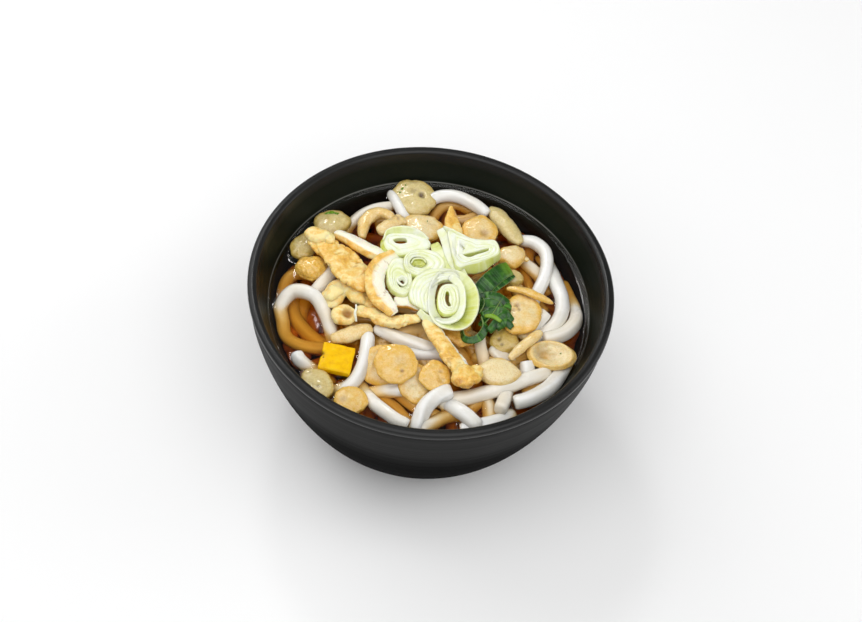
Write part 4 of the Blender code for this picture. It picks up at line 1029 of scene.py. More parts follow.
def piece(name, node_name, shapes, mat, slot, grow=1.0):
    """One topping from one or more shapes, put where its CAD node is (by the first shape's box)."""
    v0 = shapes[0][0]
    shift = mid(node_name) - (v0.min(0) + v0.max(0)) / 2.0
    g = Geo()
    for v, q, t, at in shapes:
        v = v + shift
        v = mid(node_name) + (v - mid(node_name)) * (grow, grow, 1.0)
        g.add(v, q, t, **at)
    return g.object(name, mat, slot, replaces=(node_name,))


# ================================================================ build
M_BOWL = mat_bowl()
M_NOODLE = mat_noodle("udon")
M_DEEP = mat_noodle("udon_below", deep=True)
M_CORE = mat_core()
M_FRIED = mat_batter("fried_batter", (0.84, 0.71, 0.41), (0.80, 0.48, 0.070), (0.24, 0.10, 0.018), (0.46, 0.26, 0.06), wetness=0.85, specks=0.4)
M_SOAKED = mat_batter("soaked_batter", (0.70, 0.58, 0.27), (0.56, 0.39, 0.08), (0.10, 0.045, 0.012), (0.30, 0.20, 0.07), wetness=0.9, specks=0.6)
M_TOFU = mat_tofu("fried_tofu", (0.97, 0.80, 0.38), (0.86, 0.52, 0.10), (0.58, 0.26, 0.025), (0.96, 0.92, 0.76), (0.34, 0.13, 0.012))
M_ONION = mat_onion()
M_GREEN = mat_green()
M_YELLOW = mat_yellow()
M_BROTH = mat_broth()

bowl = build_bowl().object("bowl_turned", M_BOWL, "bowl", replaces=("bowl",))

n_top, n_deep, n_core = build_noodles()
udon = n_top.object("udon_strands", M_NOODLE, "noodles", replaces=("noodles",))
udon_deep = n_deep.object("udon_strands_below", M_DEEP, "noodles")
core = n_core.object("noodles_core", M_CORE, "noodles")

B, S = "blob", "bar"
SHAPES = {
    "batter_bit_01": [(B, dict(a=9.1, b=8.7, h=2.6, yaw=-12, tx=6, wob=.03, tint=-.15, seed=1, pits=[(2.6, 1.2, 1.0, 1.6, 1.0), (-1.0, 1.6, 1.3, .5, .35), (3.6, 0.4, .6, .8, .8)], rays=.10))],
    "batter_bit_02": [(B, dict(a=7.9, b=6.1, h=2.7, yaw=20, wob=.05, seed=2, tint=.2))],
    "batter_bit_03": [(B, dict(a=5.3, b=6.9, h=2.6, yaw=-15, wob=.05, seed=3, tint=.35))],
    "batter_bit_04": [(B, dict(a=6.2, b=5.3, h=4.0, yaw=20, wob=.07, seed=4, flat=1.0, knob=.55, big=.3, tint=1.1))],
    "batter_bit_24": [(B, dict(a=7.6, b=5.2, h=2.0, yaw=-40, wob=.04, seed=5, pits=[(2.0, -1.8, .8, .3, .5)]))],
    "batter_bit_25": [(B, dict(a=6.7, b=6.0, h=2.6, yaw=-18, wob=.04, seed=6, tint=.75, pits=[(-2.2, -1.8, 1.2, .5, .35)]))],
    "batter_bit_09": [(S, dict(points=[(21.3, 54.7, 66.8), (28.2, 45.6, 67.2), (35.0, 37.4, 67.0)], w=[3.2, 3.8, 3.5], h=[2.5, 2.9, 2.6], blunt=2.6, lump=.03, seed=9, cut="", tint=-.1))],
    "batter_bit_11": [(B, dict(a=3.8, b=3.9, h=2.6, wob=.03, seed=11, n=24, tint=.3))],
    "batter_bit_10": [(B, dict(a=5.8, b=5.1, h=3.0, yaw=10, wob=.06, seed=10, tint=.25)), (B, dict(a=1.3, b=1.1, h=.9, seed=10, n=12), (6.2, -0.6, 0.2))],
    "batter_bit_07": [(B, dict(a=7.1, b=7.3, h=2.5, tx=8, wob=.04, seed=7, pits=[(1.8, -1.6, 1.7, .6, .55)], rays=.14, tint=.5))],
    "batter_bit_05": [(S, dict(points=[(-31.1, 28.2, 68.6), (-31.2, 36.0, 69.2), (-27.6, 41.1, 69.4), (-23.3, 41.6, 69.4), (-19.6, 39.0, 69.2)], w=2.6, h=2.3, blunt=3.0, lump=.04, seed=5, cut="", tint=.55))],
    "batter_bit_08": [(B, dict(a=8.1, b=6.4, h=2.6, yaw=-6, wob=.06, tint=.05, seed=8, rays=.12, pits=[(2.5, 0.6, 2.0, .4, .15)]))],
    "batter_bit_06": [(S, dict(points=[(-25.5, 30.2, 70.6), (-21.6, 32.7, 71.0), (-18.2, 36.2, 71.4), (-16.3, 38.8, 71.4)], w=[2.9, 3.3, 3.1], h=[2.3, 2.2, 2.1], blunt=3.0, lump=.07, seed=6, cut="", tint=.35, crease=.25))],
    "batter_bit_17": [(B, dict(a=6.6, b=5.4, h=2.3, yaw=-32, tx=10, wob=.09, seed=17, taper=.35, tint=.9, pits=[(-1.5, -1.5, .8, .4, .6), (.5, -2.6, .6, .3, .6)]))],
    "batter_bit_18": [(S, dict(points=[(35.6, -8.4, 66.2), (39.3, -11.1, 66.4), (42.9, -9.8, 66.8)], w=2.1, h=2.0, blunt=3.0, lump=.05, seed=18, cut="", tint=.2))],
    "batter_bit_13": [(B, dict(a=7.7, b=9.3, h=2.8, yaw=-8, wob=.10, seed=13, pits=[(-2.6, 2.2, 1.2, .8, .7), (-1.4, .2, .8, .6, .6), (-3.4, -.6, .8, .5, .5)], rays=.30, knob=.18, tint=.3))],
    "batter_bit_12": [(S, dict(points=[(31.2, 6.9, 71.6), (37.4, 6.6, 72.2), (43.8, 5.0, 71.8), (50.1, 3.1, 70.4)], w=[1.2, 2.0, 1.9, .9], h=1.4, roll=[50, 30, 20], blunt=3.0, seed=12, cut="", tint=.85))],
    "batter_bit_15": [(B, dict(a=9.4, b=6.6, h=1.9, yaw=2, tx=4, wob=.03, seed=15, cup=1.6, flat=.8, pits=[(-3.4, 1.0, 2.6, 2.2, .40), (-0.6, -.2, 2.6, 1.4, .14), (2.0, 0.2, 2.4, 0.9, .0)], rim=1.1, big=.2, knob=.08, tint=-.05, rays=.16))],
    "batter_bit_16": [(B, dict(a=8.9, b=6.0, h=2.9, yaw=4, tx=8, wob=.02, seed=16, taper=.42, flat=.95, big=.10, knob=.05, tint=-.3))],
    "batter_bit_14": [(S, dict(points=[(35.1, -25.6, 69.0), (40.4, -18.9, 70.2), (46.3, -12.2, 71.0)], w=2.0, h=1.8, blunt=3.5, lump=.03, seed=14, cut="", tint=.4))],
    "batter_bit_23": [(S, dict(points=[(-37.4, -24.6, 66.8), (-30.0, -21.6, 67.4), (-22.3, -17.5, 68.0)], w=[3.0, 3.4, 3.1], h=[2.5, 2.7, 2.5], blunt=2.8, seed=23, cut="", tint=.35))],
    "batter_bit_20": [(B, dict(a=7.4, b=8.2, h=1.9, yaw=-10, tx=26, wob=.03, seed=20, tint=.5, pits=[(2.0, 6.0, .8, .2, .6)]))],
    "batter_bit_21": [(B, dict(a=6.4, b=7.9, h=1.9, yaw=22, tx=24, ty=8, wob=.04, seed=21, tint=.2))],
    "batter_bit_22": [(B, dict(a=5.9, b=6.2, h=1.7, tx=18, ty=8, wob=.05, seed=22, tint=.8, pits=[(2.4, -1.6, 1.5, .5, .2), (1.6, 1.8, .8, .3, .4)]))],
    "batter_bit_19": [(B, dict(a=8.1, b=8.3, h=1.8, tx=18, wob=.03, seed=19, tint=.85, pits=[(2.6, -3.0, .75, .5, .9), (2.0, .6, 2.6, .35, .18)]))],
    "tofu_strip_08": [(S, dict(points=[(4.6, 47.6, 71.6), (5.7, 40.7, 71.4), (7.3, 33.3, 70.6)], w=[0.7, 3.0, 4.4], h=[1.0, 1.7, 1.9], roll=14, blunt=5.0, box=.7, seed=28, cut="ends", tint=.45, knob=.2))],
    # the deep pit in this piece is darkened as painted shade
    "tofu_strip_07": [(B, dict(a=5.0, b=4.4, h=2.5, yaw=15, tx=8, wob=.06, seed=26, pits=[(1.4, -0.2, 1.9, 2.2, .9)], tint=.3))],
    "tofu_strip_04": [(S, dict(points=[(-40.6, -9.6, 68.2), (-38.2, -1.0, 69.4), (-31.6, 0.4, 69.8), (-21.6, -7.5, 68.8)], w=[3.8, 5.2, 5.2, 3.2], h=[2.0, 2.8, 2.6, 1.6], roll=10, blunt=4.0, lump=.06, seed=4, crease=.5, cut="", tint=[.0, .1, .3, .5], ruffle=.5)),
                      (B, dict(a=4.4, b=3.2, h=2.1, yaw=52, seed=44, wob=.1, tint=-.2, knob=.15), (-6.4, -1.6, 1.2)),
                      (B, dict(a=5.2, b=3.2, h=2.2, yaw=-38, seed=46, wob=.1, tint=.25, knob=.2, big=.4), (1.4, -1.2, 1.0))],
    "tofu_strip_01": [(S, dict(points=[(-50.6, 22.8, 70.2), (-40.9, 13.9, 71.9), (-33.7, 6.1, 72.3), (-25.4, 0.4, 71.4)], w=[5.0, 6.0, 6.8, 5.8], h=[1.8, 1.8, 1.9, 1.6], roll=[6, 10, 14], blunt=5.0, box=.75, lump=.04, seed=31, crease=.8, cut="", tint=[.25, .5, .45, .4], ruffle=.6)),
                      (B, dict(a=5.2, b=3.4, h=2.2, yaw=4, tx=14, seed=41, wob=.12, tint=.05, knob=.25, big=.3), (-11.0, 10.0, 1.6)),
                      (B, dict(a=2.6, b=2.3, h=1.7, yaw=0, seed=42, wob=.12, tint=.12, knob=.25), (-6.2, 9.4, 1.4))],
    "tofu_strip_02": [(S, dict(points=[(-42.6, 27.4, 70.4), (-36.6, 24.4, 71.6), (-30.2, 20.2, 72.4), (-20.2, 15.6, 73.0)], w=[2.5, 2.9, 3.2, 2.4], h=[2.0, 2.3, 2.3, 2.0], roll=24, blunt=5.0, box=.8, lump=.05, seed=32, cut="top", tint=.35, ruffle=.3))],
    "tofu_strip_05": [(S, dict(points=[(-28.9, -12.5, 71.0), (-22.4, -13.4, 71.6), (-15.4, -16.3, 71.6), (-9.5, -14.4, 71.8), (-4.2, -13.0, 72.2)], w=[2.7, 3.0, 3.2, 3.0, 2.6], h=[1.6, 1.8, 1.7, 1.8, 1.6], roll=18, blunt=5.0, box=.8, lump=.05, seed=33, cut="", tint=.12, ruffle=.8, crease=.6))],
    "tofu_strip_09": [(S, dict(points=[(6.0, -16.5, 69.0), (12.4, -18.9, 69.2), (19.0, -19.3, 68.2)], w=[2.9, 3.4, 2.9], h=[1.9, 2.0, 1.8], blunt=4.0, lump=.1, seed=34, knob=.4, big=.35, cut="", tint=.85)),
                      (B, dict(a=3.0, b=2.6, h=1.9, seed=47, wob=.15, tint=.8, knob=.4, big=.3), (2.0, 5.0, 0.2))],
    "tofu_strip_06": [(S, dict(points=[(-1.5, -14.4, 74.0), (4.3, -22.8, 74.6), (10.6, -31.0, 74.0), (16.1, -37.6, 73.0)], w=[2.4, 3.6, 3.9, 4.2], h=[1.6, 1.9, 2.0, 2.2], roll=[10, 14, 10], blunt=4.5, box=.8, lump=.04, seed=3, cut="left", band=(.45, .75), crease=.4, tint=[.1, .3, .35, .45])),
                      (B, dict(a=5.6, b=4.8, h=2.6, yaw=-20, seed=43, wob=.14, tint=.55, knob=.55, big=.5), (8.0, -11.2, -0.9)),
                      (B, dict(a=3.2, b=2.8, h=2.2, yaw=30, seed=45, wob=.15, tint=.50, knob=.5, big=.4), (11.6, -8.4, -1.1))],
    "tofu_strip_10": [(S, dict(points=[(-14.1, -7.3, 72.4), (-8.7, -6.4, 72.8), (-3.0, -8.2, 72.6)], w=[2.6, 2.8, 2.6], h=[1.5, 1.6, 1.5], roll=-10, blunt=5.0, box=.7, seed=35, cut="top", tint=.95, knob=.2))],
    "tofu_strip_03": [(S, dict(points=[(-17.0, 17.2, 73.2), (-23.0, 9.4, 74.4), (-24.6, 1.6, 74.8), (-22.2, -5.4, 74.6), (-14.6, -13.0, 73.8)], w=[2.8, 3.7, 4.1, 3.9, 3.0], h=[1.5, 1.9, 2.0, 1.9, 1.5], roll=[20, 16, 8, 0, -8], blunt=4.5, box=.75, seed=36, crease=.25, cut="left", band=(-.45, .05), tint=.4))],
}
SOAKED = {"batter_bit_%02d" % i for i in (1, 2, 3, 9, 11, 17, 24)}


def shaped(kind, args, at=None):
    v, q, t, attrs = puff(**args) if kind == B else strip(**args)
    return (v if at is None else v + np.array(at), q, t, attrs)


made = {}
for key, rows in SHAPES.items():
    first = shaped(*rows[0])
    mid0 = (first[0].min(0) + first[0].max(0)) / 2.0
    shapes = [first] + [shaped(r[0], r[1], mid0 + np.array(r[2])) for r in rows[1:]]
    if key.startswith("tofu"):
        mat, slot = M_TOFU, "fried_tofu"
    elif key in SOAKED:
        mat, slot = M_SOAKED, "soaked_batter"
    else:
        mat, slot = M_FRIED, "fried_batter"
    made[key] = piece(key + "_food", key, shapes, mat, slot, grow=1.07)


def slab(sx, sy, th, yaw, tx, ty, seed=1, n=30):
    """The yellow square: a block with softened edges and a slightly uneven face."""
    d, q = cube_sphere(n)
    m = np.max(np.abs(d), axis=1)[:, None]
    c = d / m
    half = np.array([sx, sy, th]) / 2.0
    p = c * half
    rnd = 0.7
    inner = half - rnd
    core_p = np.clip(p, -inner, inner)
    dirn = p - core_p
    ln = np.linalg.norm(dirn, axis=1)
    v = core_p + dirn / np.where(ln > 0, ln, 1)[:, None] * np.where(ln > 0, rnd, 0)[:, None]
    v = crust(v, q, seed, 0.16, 0.05, 0.04)
    notch = np.exp(-(((v[:, 0] + sx / 2) / 1.3) ** 2 + ((v[:, 1] - 0.6) / 1.0) ** 2))
    v[:, 0] += 0.7 * notch
    return rotated(v, yaw, tx, ty), q, None, dict(pit=notch * 0.9)


made["yellow_square"] = piece("yellow_square_food", "yellow_square", [slab(13.2, 12.6, 3.4, -4, 5, 2, 3)], M_YELLOW, "yellow_square")


# ---------------------------------------------------------------- onion
def ellipse(cx, cy, cz, ra, rb, yaw, n=12, sx=0.0, sy=0.0, seed=0, wob=0.05):
    """Points of an uneven oval round (cx, cy, cz), leaning by slopes sx, sy."""
    rs = np.random.RandomState(seed)
    out = []
    for i in range(n):
        a = 2 * math.pi * i / n
        k = 1.0 + rs.uniform(-wob, wob)
        x, y = ra * k * math.cos(a), rb * k * math.sin(a)
        c, s = math.cos(math.radians(yaw)), math.sin(math.radians(yaw))
        X, Y = x * c - y * s, x * s + y * c
        out.append((cx + X, cy + Y, cz + sx * X + sy * Y))
    return out


def onion(name, node_name, layers, mat=None, slot="onion_white"):
    """Loosened layers of one slice; their routes are given from the middle of its CAD node."""
    g = Geo()
    for ly in layers:
        v, q, t, at = band(**ly)
        g.add(v + mid(node_name), q, t, **at)
    return g.object(name, mat or M_ONION, slot, replaces=(node_name,))


def scaled(points, k, lift=0.0):
    p = np.array(points, float)
    c = p.mean(0)
    return [tuple(c + (x - c) * (k, k, 1.0) + (0, 0, lift)) for x in p]


def right_way(v, q):
    """Faces turned so that the closed shape's normals point outward."""
    a, b, c, d = (v[q[:, i]] for i in range(4))
    vol = np.einsum("ij,ij->i", a, np.cross(b, c)).sum() + np.einsum("ij,ij->i", a, np.cross(c, d)).sum()
    return q if vol > 0 else q[:, ::-1]


def polar(points, c, th):
    """Distance from c to a closed outline in each direction th."""
    p, _ = smooth_line([(x, y, 0.0) for x, y in points], 360, True)
    a = np.arctan2(p[:, 1] - c[1], p[:, 0] - c[0])
    r = np.hypot(p[:, 0] - c[0], p[:, 1] - c[1])
    o = np.argsort(a)
    a, r = a[o], r[o]
    return np.interp(th, np.concatenate([a - 2 * math.pi, a, a + 2 * math.pi]), np.tile(r, 3))


def cut_face(outer, inner, high, seed=1, layers=4, slope=(0.0, 0.0), lift=0.0, green=(0.5,), flare=(0.4,), closed=True,
             n=120, step_h=0.22, face=0.06, well=0.55, dish=0.0):
    """A cut slice: the flat face between two outlines shows its layers as rings; the walls go down from it."""
    rs = np.random.RandomState(seed)
    if closed:
        c = np.mean(np.array(inner, float), axis=0)
        th = np.linspace(-math.pi, math.pi, n, endpoint=False)
        ri, ro = polar(inner, c, th), polar(outer, c, th)
        dirn = np.stack([np.cos(th), np.sin(th)], 1)
        pin, pout = c + dirn * ri[:, None], c + dirn * ro[:, None]
        t = np.arange(n) / n
        ring = np.stack([np.cos(th) * 1.6, np.sin(th) * 1.6], 1)
        per = lambda vals: np.interp(t, np.linspace(0, 1, len(vals) + 1), list(vals) + [vals[0]])
        taper = np.ones(n)
    else:
        pin = smooth_line([(x, y, 0.0) for x, y in inner], n)[0][:, :2]
        pout = smooth_line([(x, y, 0.0) for x, y in outer], n)[0][:, :2]
        t = np.linspace(0, 1, n)
        ring = np.stack([t * 5.0, t * 0.0], 1)
        per = lambda vals: along_list(list(vals), t)
        e = np.clip(np.minimum(t, 1 - t) / 0.08, 0, 1)
        taper = 0.35 + 0.65 * np.sqrt(np.clip(1 - (1 - e) ** 2, 0, 1))
    gap = pout - pin
    away = gap / np.maximum(np.linalg.norm(gap, axis=1), 1e-6)[:, None]
    wob = noise(np.stack([ring[:, 0], ring[:, 1], np.full(n, 0.37 * seed)], 1), 1.0, seed + 2)
    gr, fl = per(list(green)), per(list(flare))
    cols = np.linspace(0.0, 1.0, 30)
    levels = rs.uniform(-1, 1, layers + 1) * step_h
    rows = []
    for u in cols:
        w = u * layers + 0.45 * wob * math.sin(math.pi * u)
        near = np.clip(np.round(w), 1, max(1, layers - 1)) if layers > 1 else np.full(n, 99.0)
        groove = np.exp(-((w - near) / 0.13) ** 2)
        lev = levels[np.clip(np.floor(w), 0, layers - 1).astype(int)]
        frac = w - np.floor(w)
        soft = 0.10 * np.sin(math.pi * np.clip(frac, 0, 1))
        rnd = 0.30 * (max(0.0, 0.06 - u) / 0.06) ** 2 + 0.30 * (max(0.0, u - 0.95) / 0.05) ** 2
        z = high / 2.0 + lev + soft - 0.20 * groove - rnd - dish * (1 - u) * (1 - u)
        out = face + 0.22 * groove + 0.30 * gr * float(sstep(0.80, 1.0, u)) + 0.22 * float(sstep(0.16, 0.0, u)) + 0.10 * (frac > 0.6)
        rows.append((np.full(n, u), z, np.zeros(n), out, 0.5 + 0.5 * np.sin(w * 9.0 + 4.0 * wob)))
    fib = noise(np.stack([t * n / 2.4, np.full(n, 2.2 * seed), np.full(n, 0.5)], 1), 1.0, seed + 7)
    fib = 0.5 + 0.5 * fib
    for zf in (0.72, 0.40, 0.05, -0.30, -0.65):
        push = fl * (1 - zf) / 2.0 + 0.18 * (1 - zf * zf)
        rows.append((np.ones(n), np.full(n, zf * high / 2.0), push, 0.30 + 0.70 * gr, fib))
    for u in (0.97, 0.8, 0.5, 0.2, 0.03):
        rows.append((np.full(n, u), np.full(n, -high / 2.0), fl * u, 0.2 + 0.5 * gr, fib))
    for zf in (-0.6, -0.2, 0.2, 0.6):
        rows.append((np.zeros(n), np.full(n, zf * high / 2.0), np.zeros(n), np.full(n, well), fib))
    u = np.stack([r[0] for r in rows], 1)
    z = np.stack([r[1] for r in rows], 1) * taper[:, None]
    push = np.stack([r[2] for r in rows], 1)
    k = u.shape[1]
    mid_u = 0.5 + (u - 0.5) * (0.55 + 0.45 * taper[:, None])
    xy = pin[:, None, :] + gap[:, None, :] * mid_u[..., None] + away[:, None, :] * push[..., None]
    z = z + lift + slope[0] * xy[..., 0] + slope[1] * xy[..., 1]
    v = np.concatenate([xy, z[..., None]], -1).reshape(-1, 3)
    v = v + 0.16 * np.stack([noise(v, 4.5, seed + 31), noise(v, 4.5, seed + 32), noise(v, 4.5, seed + 33)], 1)
    v = v + 0.04 * np.stack([noise(v, 1.0, seed + 21), noise(v, 1.0, seed + 22), noise(v, 1.0, seed + 23)], 1)
    quads = right_way(v, tube_faces(n, k, closed))
    at = dict(out=np.clip(np.stack([r[3] for r in rows], 1), 0, 1).reshape(-1), edge=np.zeros(n * k),
              fibre=np.clip(np.stack([r[4] for r in rows], 1), 0, 1).reshape(-1))
    tris = None
    if not closed:
        caps = np.array([v[:k].mean(0), v[-k:].mean(0)])
        j = np.arange(k)
        jn = (j + 1) % k
        tris = np.concatenate([np.stack([np.full(k, n * k), j, jn], 1), np.stack([np.full(k, n * k + 1), (n - 1) * k + jn, (n - 1) * k + j], 1)])
        if not np.array_equal(quads, tube_faces(n, k, closed)):
            tris = tris[:, ::-1]
        v = np.concatenate([v, caps])
        at = {key: np.concatenate([x, [x[:k].mean(), x[-k:].mean()]]) for key, x in at.items()}
    return v, quads, tris, at


def slice_of(name, node_name, parts):
    """One onion slice from cut faces and loosened layers, given from the middle of its CAD node."""
    g = Geo()
    for p in parts:
        p = dict(p)
        v, q, t, at = cut_face(**p) if "outer" in p else band(**p)
        g.add(v + mid(node_name), q, t, **at)
    return g.object(name, M_ONION, "onion_white", replaces=(node_name,))


made["onion_slice_1"] = slice_of("onion_slice_1_food", "onion_slice_1", [
    dict(outer=[(-10.0, -1.5), (-8.6, 2.2), (-3.0, 3.6), (3.0, 3.4), (8.6, 1.6), (8.6, -2.0), (2.6, -5.6), (-3.5, -7.2), (-8.2, -5.0)],
         inner=[(-6.2, -0.2), (-4.4, 1.0), (-1.2, 1.3), (-0.6, -0.6), (-4.2, -1.6)], high=2.6, seed=1, layers=2, slope=(0.02, 0.10),
         green=[1.0, 1.0, .5, .1, .0, .1, .5, .7], flare=[1.6, 1.4, .5, .3, .2, .2, .2, .9], well=.35, face=.0),
    dict(points=[(-10.0, -1.0, 0.2), (-8.4, 3.4, 0.9), (-2.4, 5.2, 1.4), (3.6, 4.6, 1.2), (8.2, 2.2, 0.6)], width=[2.6, 3.8, 4.4, 3.8, 2.4], thick=0.8, closed=False, axis=(-0.1, 0.75, 1.0), seed=2, green=[.8, .45, .35, .2, .1], wave=.25),
])
made["onion_slice_2"] = slice_of("onion_slice_2_food", "onion_slice_2", [
    dict(outer=[(-9.0, 9.0), (-5.0, 8.2), (1.0, 7.0), (6.2, 6.8), (11.2, 7.2), (13.2, 1.2), (8.0, -3.0), (2.0, -6.2), (-2.6, -8.2), (-6.0, -3.0)],
         inner=[(-1.6, -2.0), (1.0, -1.0), (4.6, 0.8), (8.4, 2.6), (8.2, 1.2), (4.6, -1.0), (1.0, -3.0)], high=4.8, seed=3, layers=3, slope=(0.0, 0.04), lift=0.1,
         green=[.2, .45, .60, .65, .6, .5, .15, .1], flare=[.2, 1.8, 3.0, 2.6, 1.0, .4, .2, .2], well=.65, face=.0),
    dict(points=[(-12.5, 11.5, 0.2), (-9.6, 5.4, 1.1), (-7.0, -1.2, 1.1), (-4.0, -6.6, 0.4), (0.8, -12.6, -2.4)], width=[3.0, 4.2, 4.8, 4.8, 4.0], thick=0.9, closed=False, axis=(1.0, 0.42, 0.45), seed=7, green=[.25, .12, .12, .25, .45], wave=.35),
    dict(points=[(-11.4, 12.4, -0.4), (-7.4, 9.8, 0.1), (-2.8, 7.8, 0.2), (1.6, 6.6, 0.0)], width=[3.0, 4.4, 4.0, 2.6], thick=0.8, closed=False, axis=(0.15, 0.85, 0.9), seed=8, green=[.35, .25, .15, .1], wave=.25),
    dict(points=[(-14.0, 5.0, -1.6), (-11.6, -0.6, -1.0), (-8.6, -5.6, -1.2), (-5.0, -9.6, -2.0)], width=[3.4, 5.4, 5.4, 3.6], thick=0.8, closed=False, axis=(1.0, 0.42, 0.30), seed=58, green=[.9, .5, .35, .7], wave=.35),
    dict(points=[(-4.8, 5.0, 2.0), (-3.4, 2.4, 2.3), (-1.2, 0.6, 2.2)], width=[1.0, 1.6, 1.0], thick=0.6, closed=False, axis=(0.8, 0.6, 0.3), seed=59, green=[1.0, 1.0, .9], wave=.2),
])
made["onion_slice_3"] = slice_of("onion_slice_3_food", "onion_slice_3", [
    dict(outer=[(-5.5, 6.0), (-3.5, 10.4), (2.5, 12.6), (8.5, 11.2), (11.6, 6.8), (9.5, 1.4), (3.5, -1.0), (-3.5, 0.8)],
         inner=[(-2.8, 6.0), (-1.4, 8.4), (2.2, 8.6), (4.0, 6.6), (2.4, 4.2), (-1.2, 4.0)], high=2.8, seed=9, layers=3, slope=(0.0, 0.06),
         green=[.7, .5, .3, .2, .2, .3, .4, .6], flare=[.8, .6, .5, .5, .4, .3, .3, .4], well=1.0, face=.12, dish=.9),
    dict(points=[(-1.8, 6.0, -0.9), (-0.4, 7.6, -0.8), (2.0, 7.6, -0.8), (2.9, 6.2, -0.9), (1.6, 4.9, -1.0), (-0.6, 4.8, -1.0)], width=3.6, thick=0.8, seed=10, lean=-70, green=.95, wave=.15),
    dict(points=[(-2.6, 5.6, -0.6), (-1.4, 8.0, -0.2), (2.0, 8.6, -0.1), (4.0, 6.8, -0.3)], width=2.4, thick=0.7, closed=False, seed=60, lean=12, green=[.9, 1.0, .9, .5], wave=.15),
    dict(outer=[(-10.5, 5.5), (-6.5, 7.2), (-2.5, 2.5), (-1.0, -6.5), (-3.6, -10.8), (-9.0, -8.6), (-11.5, -1.0)],
         inner=[(-6.9, -3.9), (-5.2, -2.7), (-3.7, -4.2), (-4.2, -6.4), (-5.9, -6.6)], high=2.4, seed=11, layers=4, slope=(0.02, 0.05), lift=-0.3,
         green=[.5, .4, .3, .2, .3, .4, .4, .5], flare=[1.0, .8, .6, .5, .3, .3, .3, .6], well=.8, face=.14, dish=.7),
    dict(points=[(-6.8, -4.6, 0.4), (-5.2, -2.6, 0.5), (-3.6, -4.4, 0.5), (-4.4, -6.6, 0.4)], width=2.2, thick=0.8, seed=13, lean=-24, green=.10, wave=.1),
])
S4 = [(-5.0, 12.5, 0.6), (0.5, 12.6, 0.6), (4.8, 8.6, 0.3), (6.6, 1.6, 0.0), (6.4, -6.5, -0.3), (4.0, -11.6, -0.6), (-0.5, -12.8, -0.6), (-5.0, -11.0, -0.2), (-8.0, -5.4, 0.2), (-8.8, 2.5, 0.5), (-7.6, 8.8, 0.8)]
made["onion_slice_4"] = slice_of("onion_slice_4_food", "onion_slice_4", [
    dict(points=S4, width=[3.4, 4.6, 7.4, 9.4, 9.6, 9.0, 6.6, 4.4, 3.4, 3.2, 3.2], thick=1.0, seed=14, lean=-58, green=[.1, .2, .50, .75, .80, .80, .6, .25, .1, .0, .0], wave=.25),
    dict(points=[(-2.5, 10.8, 1.6), (1.4, 7.4, 1.8), (3.2, 1.6, 1.7), (3.4, -5.6, 1.3), (1.4, -10.2, .8), (-3.0, -11.6, .4), (-7.4, -9.2, .0)], width=[2.4, 3.6, 4.4, 4.6, 4.6, 4.4, 2.8], thick=1.0, closed=False, seed=16, lean=-58, green=[.1, .2, .22, .15, .05, .0, .05], wave=.25),
    dict(outer=[(-5.4, 4.8), (-2.4, 6.8), (1.2, 5.8), (2.8, -0.8), (1.6, -6.8), (-2.2, -8.4), (-5.0, -6.2), (-6.0, -0.8)],
         inner=[(-3.0, 2.6), (-1.8, 2.0), (-1.6, -1.4), (-0.6, -4.2), (-1.8, -4.4), (-3.0, -1.4)], high=3.0, seed=17, layers=3, lift=0.6, slope=(0.04, 0.02),
         green=[.8, .8, .6, .3, .2, .2, .4, .7], flare=[.5, .4, .3, .3, .3, .3, .3, .4], well=.9, face=.10, n=90),
    dict(outer=[(-17.2, -3.5), (-17.6, 4.6), (-14.4, 11.2), (-8.5, 14.6), (-2.0, 15.0), (2.0, 13.2)],
         inner=[(-8.6, -8.6), (-10.0, -1.5), (-8.6, 4.6), (-5.4, 8.4), (-1.6, 9.4), (1.0, 8.6)], high=2.8, seed=19, layers=5, slope=(0.04, 0.0), lift=0.3, closed=False,
         green=[.4, .5, .3, .2, .2], flare=[.8, 1.0, .6, .4, .4], well=.5, face=.06, n=90),
    dict(points=[(-13.2, -7.0, -0.9), (-9.4, -10.6, -0.6), (-4.6, -12.6, -0.4), (0.4, -13.2, -0.6)], width=[2.6, 3.4, 3.4, 2.4], thick=1.0, closed=False, axis=(0.30, 0.75, 0.7), seed=18, green=[.3, .2, .35, .5], wave=.2),
])
made["onion_green_1"] = onion("onion_green_1_food", "onion_green_1", [
    dict(points=[(-6.4, -7.2, -0.8), (-3.0, -3.0, 0.3), (0.0, 1.0, 0.9), (3.5, 5.0, 0.8), (6.4, 7.6, 0.0)], width=[6.0, 7.4, 7.6, 7.0, 6.2], thick=0.8, closed=False, axis=(-0.8, 0.6, 0.35), seed=22, wave=.5, green=[.0, .0, .0, .12, .75]),
    dict(points=[(-5.6, -8.2, -1.8), (-2.0, -4.2, -1.0), (1.4, -0.4, -0.5), (4.8, 3.4, -0.6), (7.4, 6.4, -1.2)], width=[5.0, 6.4, 6.6, 6.4, 5.0], thick=0.8, closed=False, axis=(-0.8, 0.6, 0.1), seed=23, wave=.4, green=.0),
], M_GREEN, "onion_green")
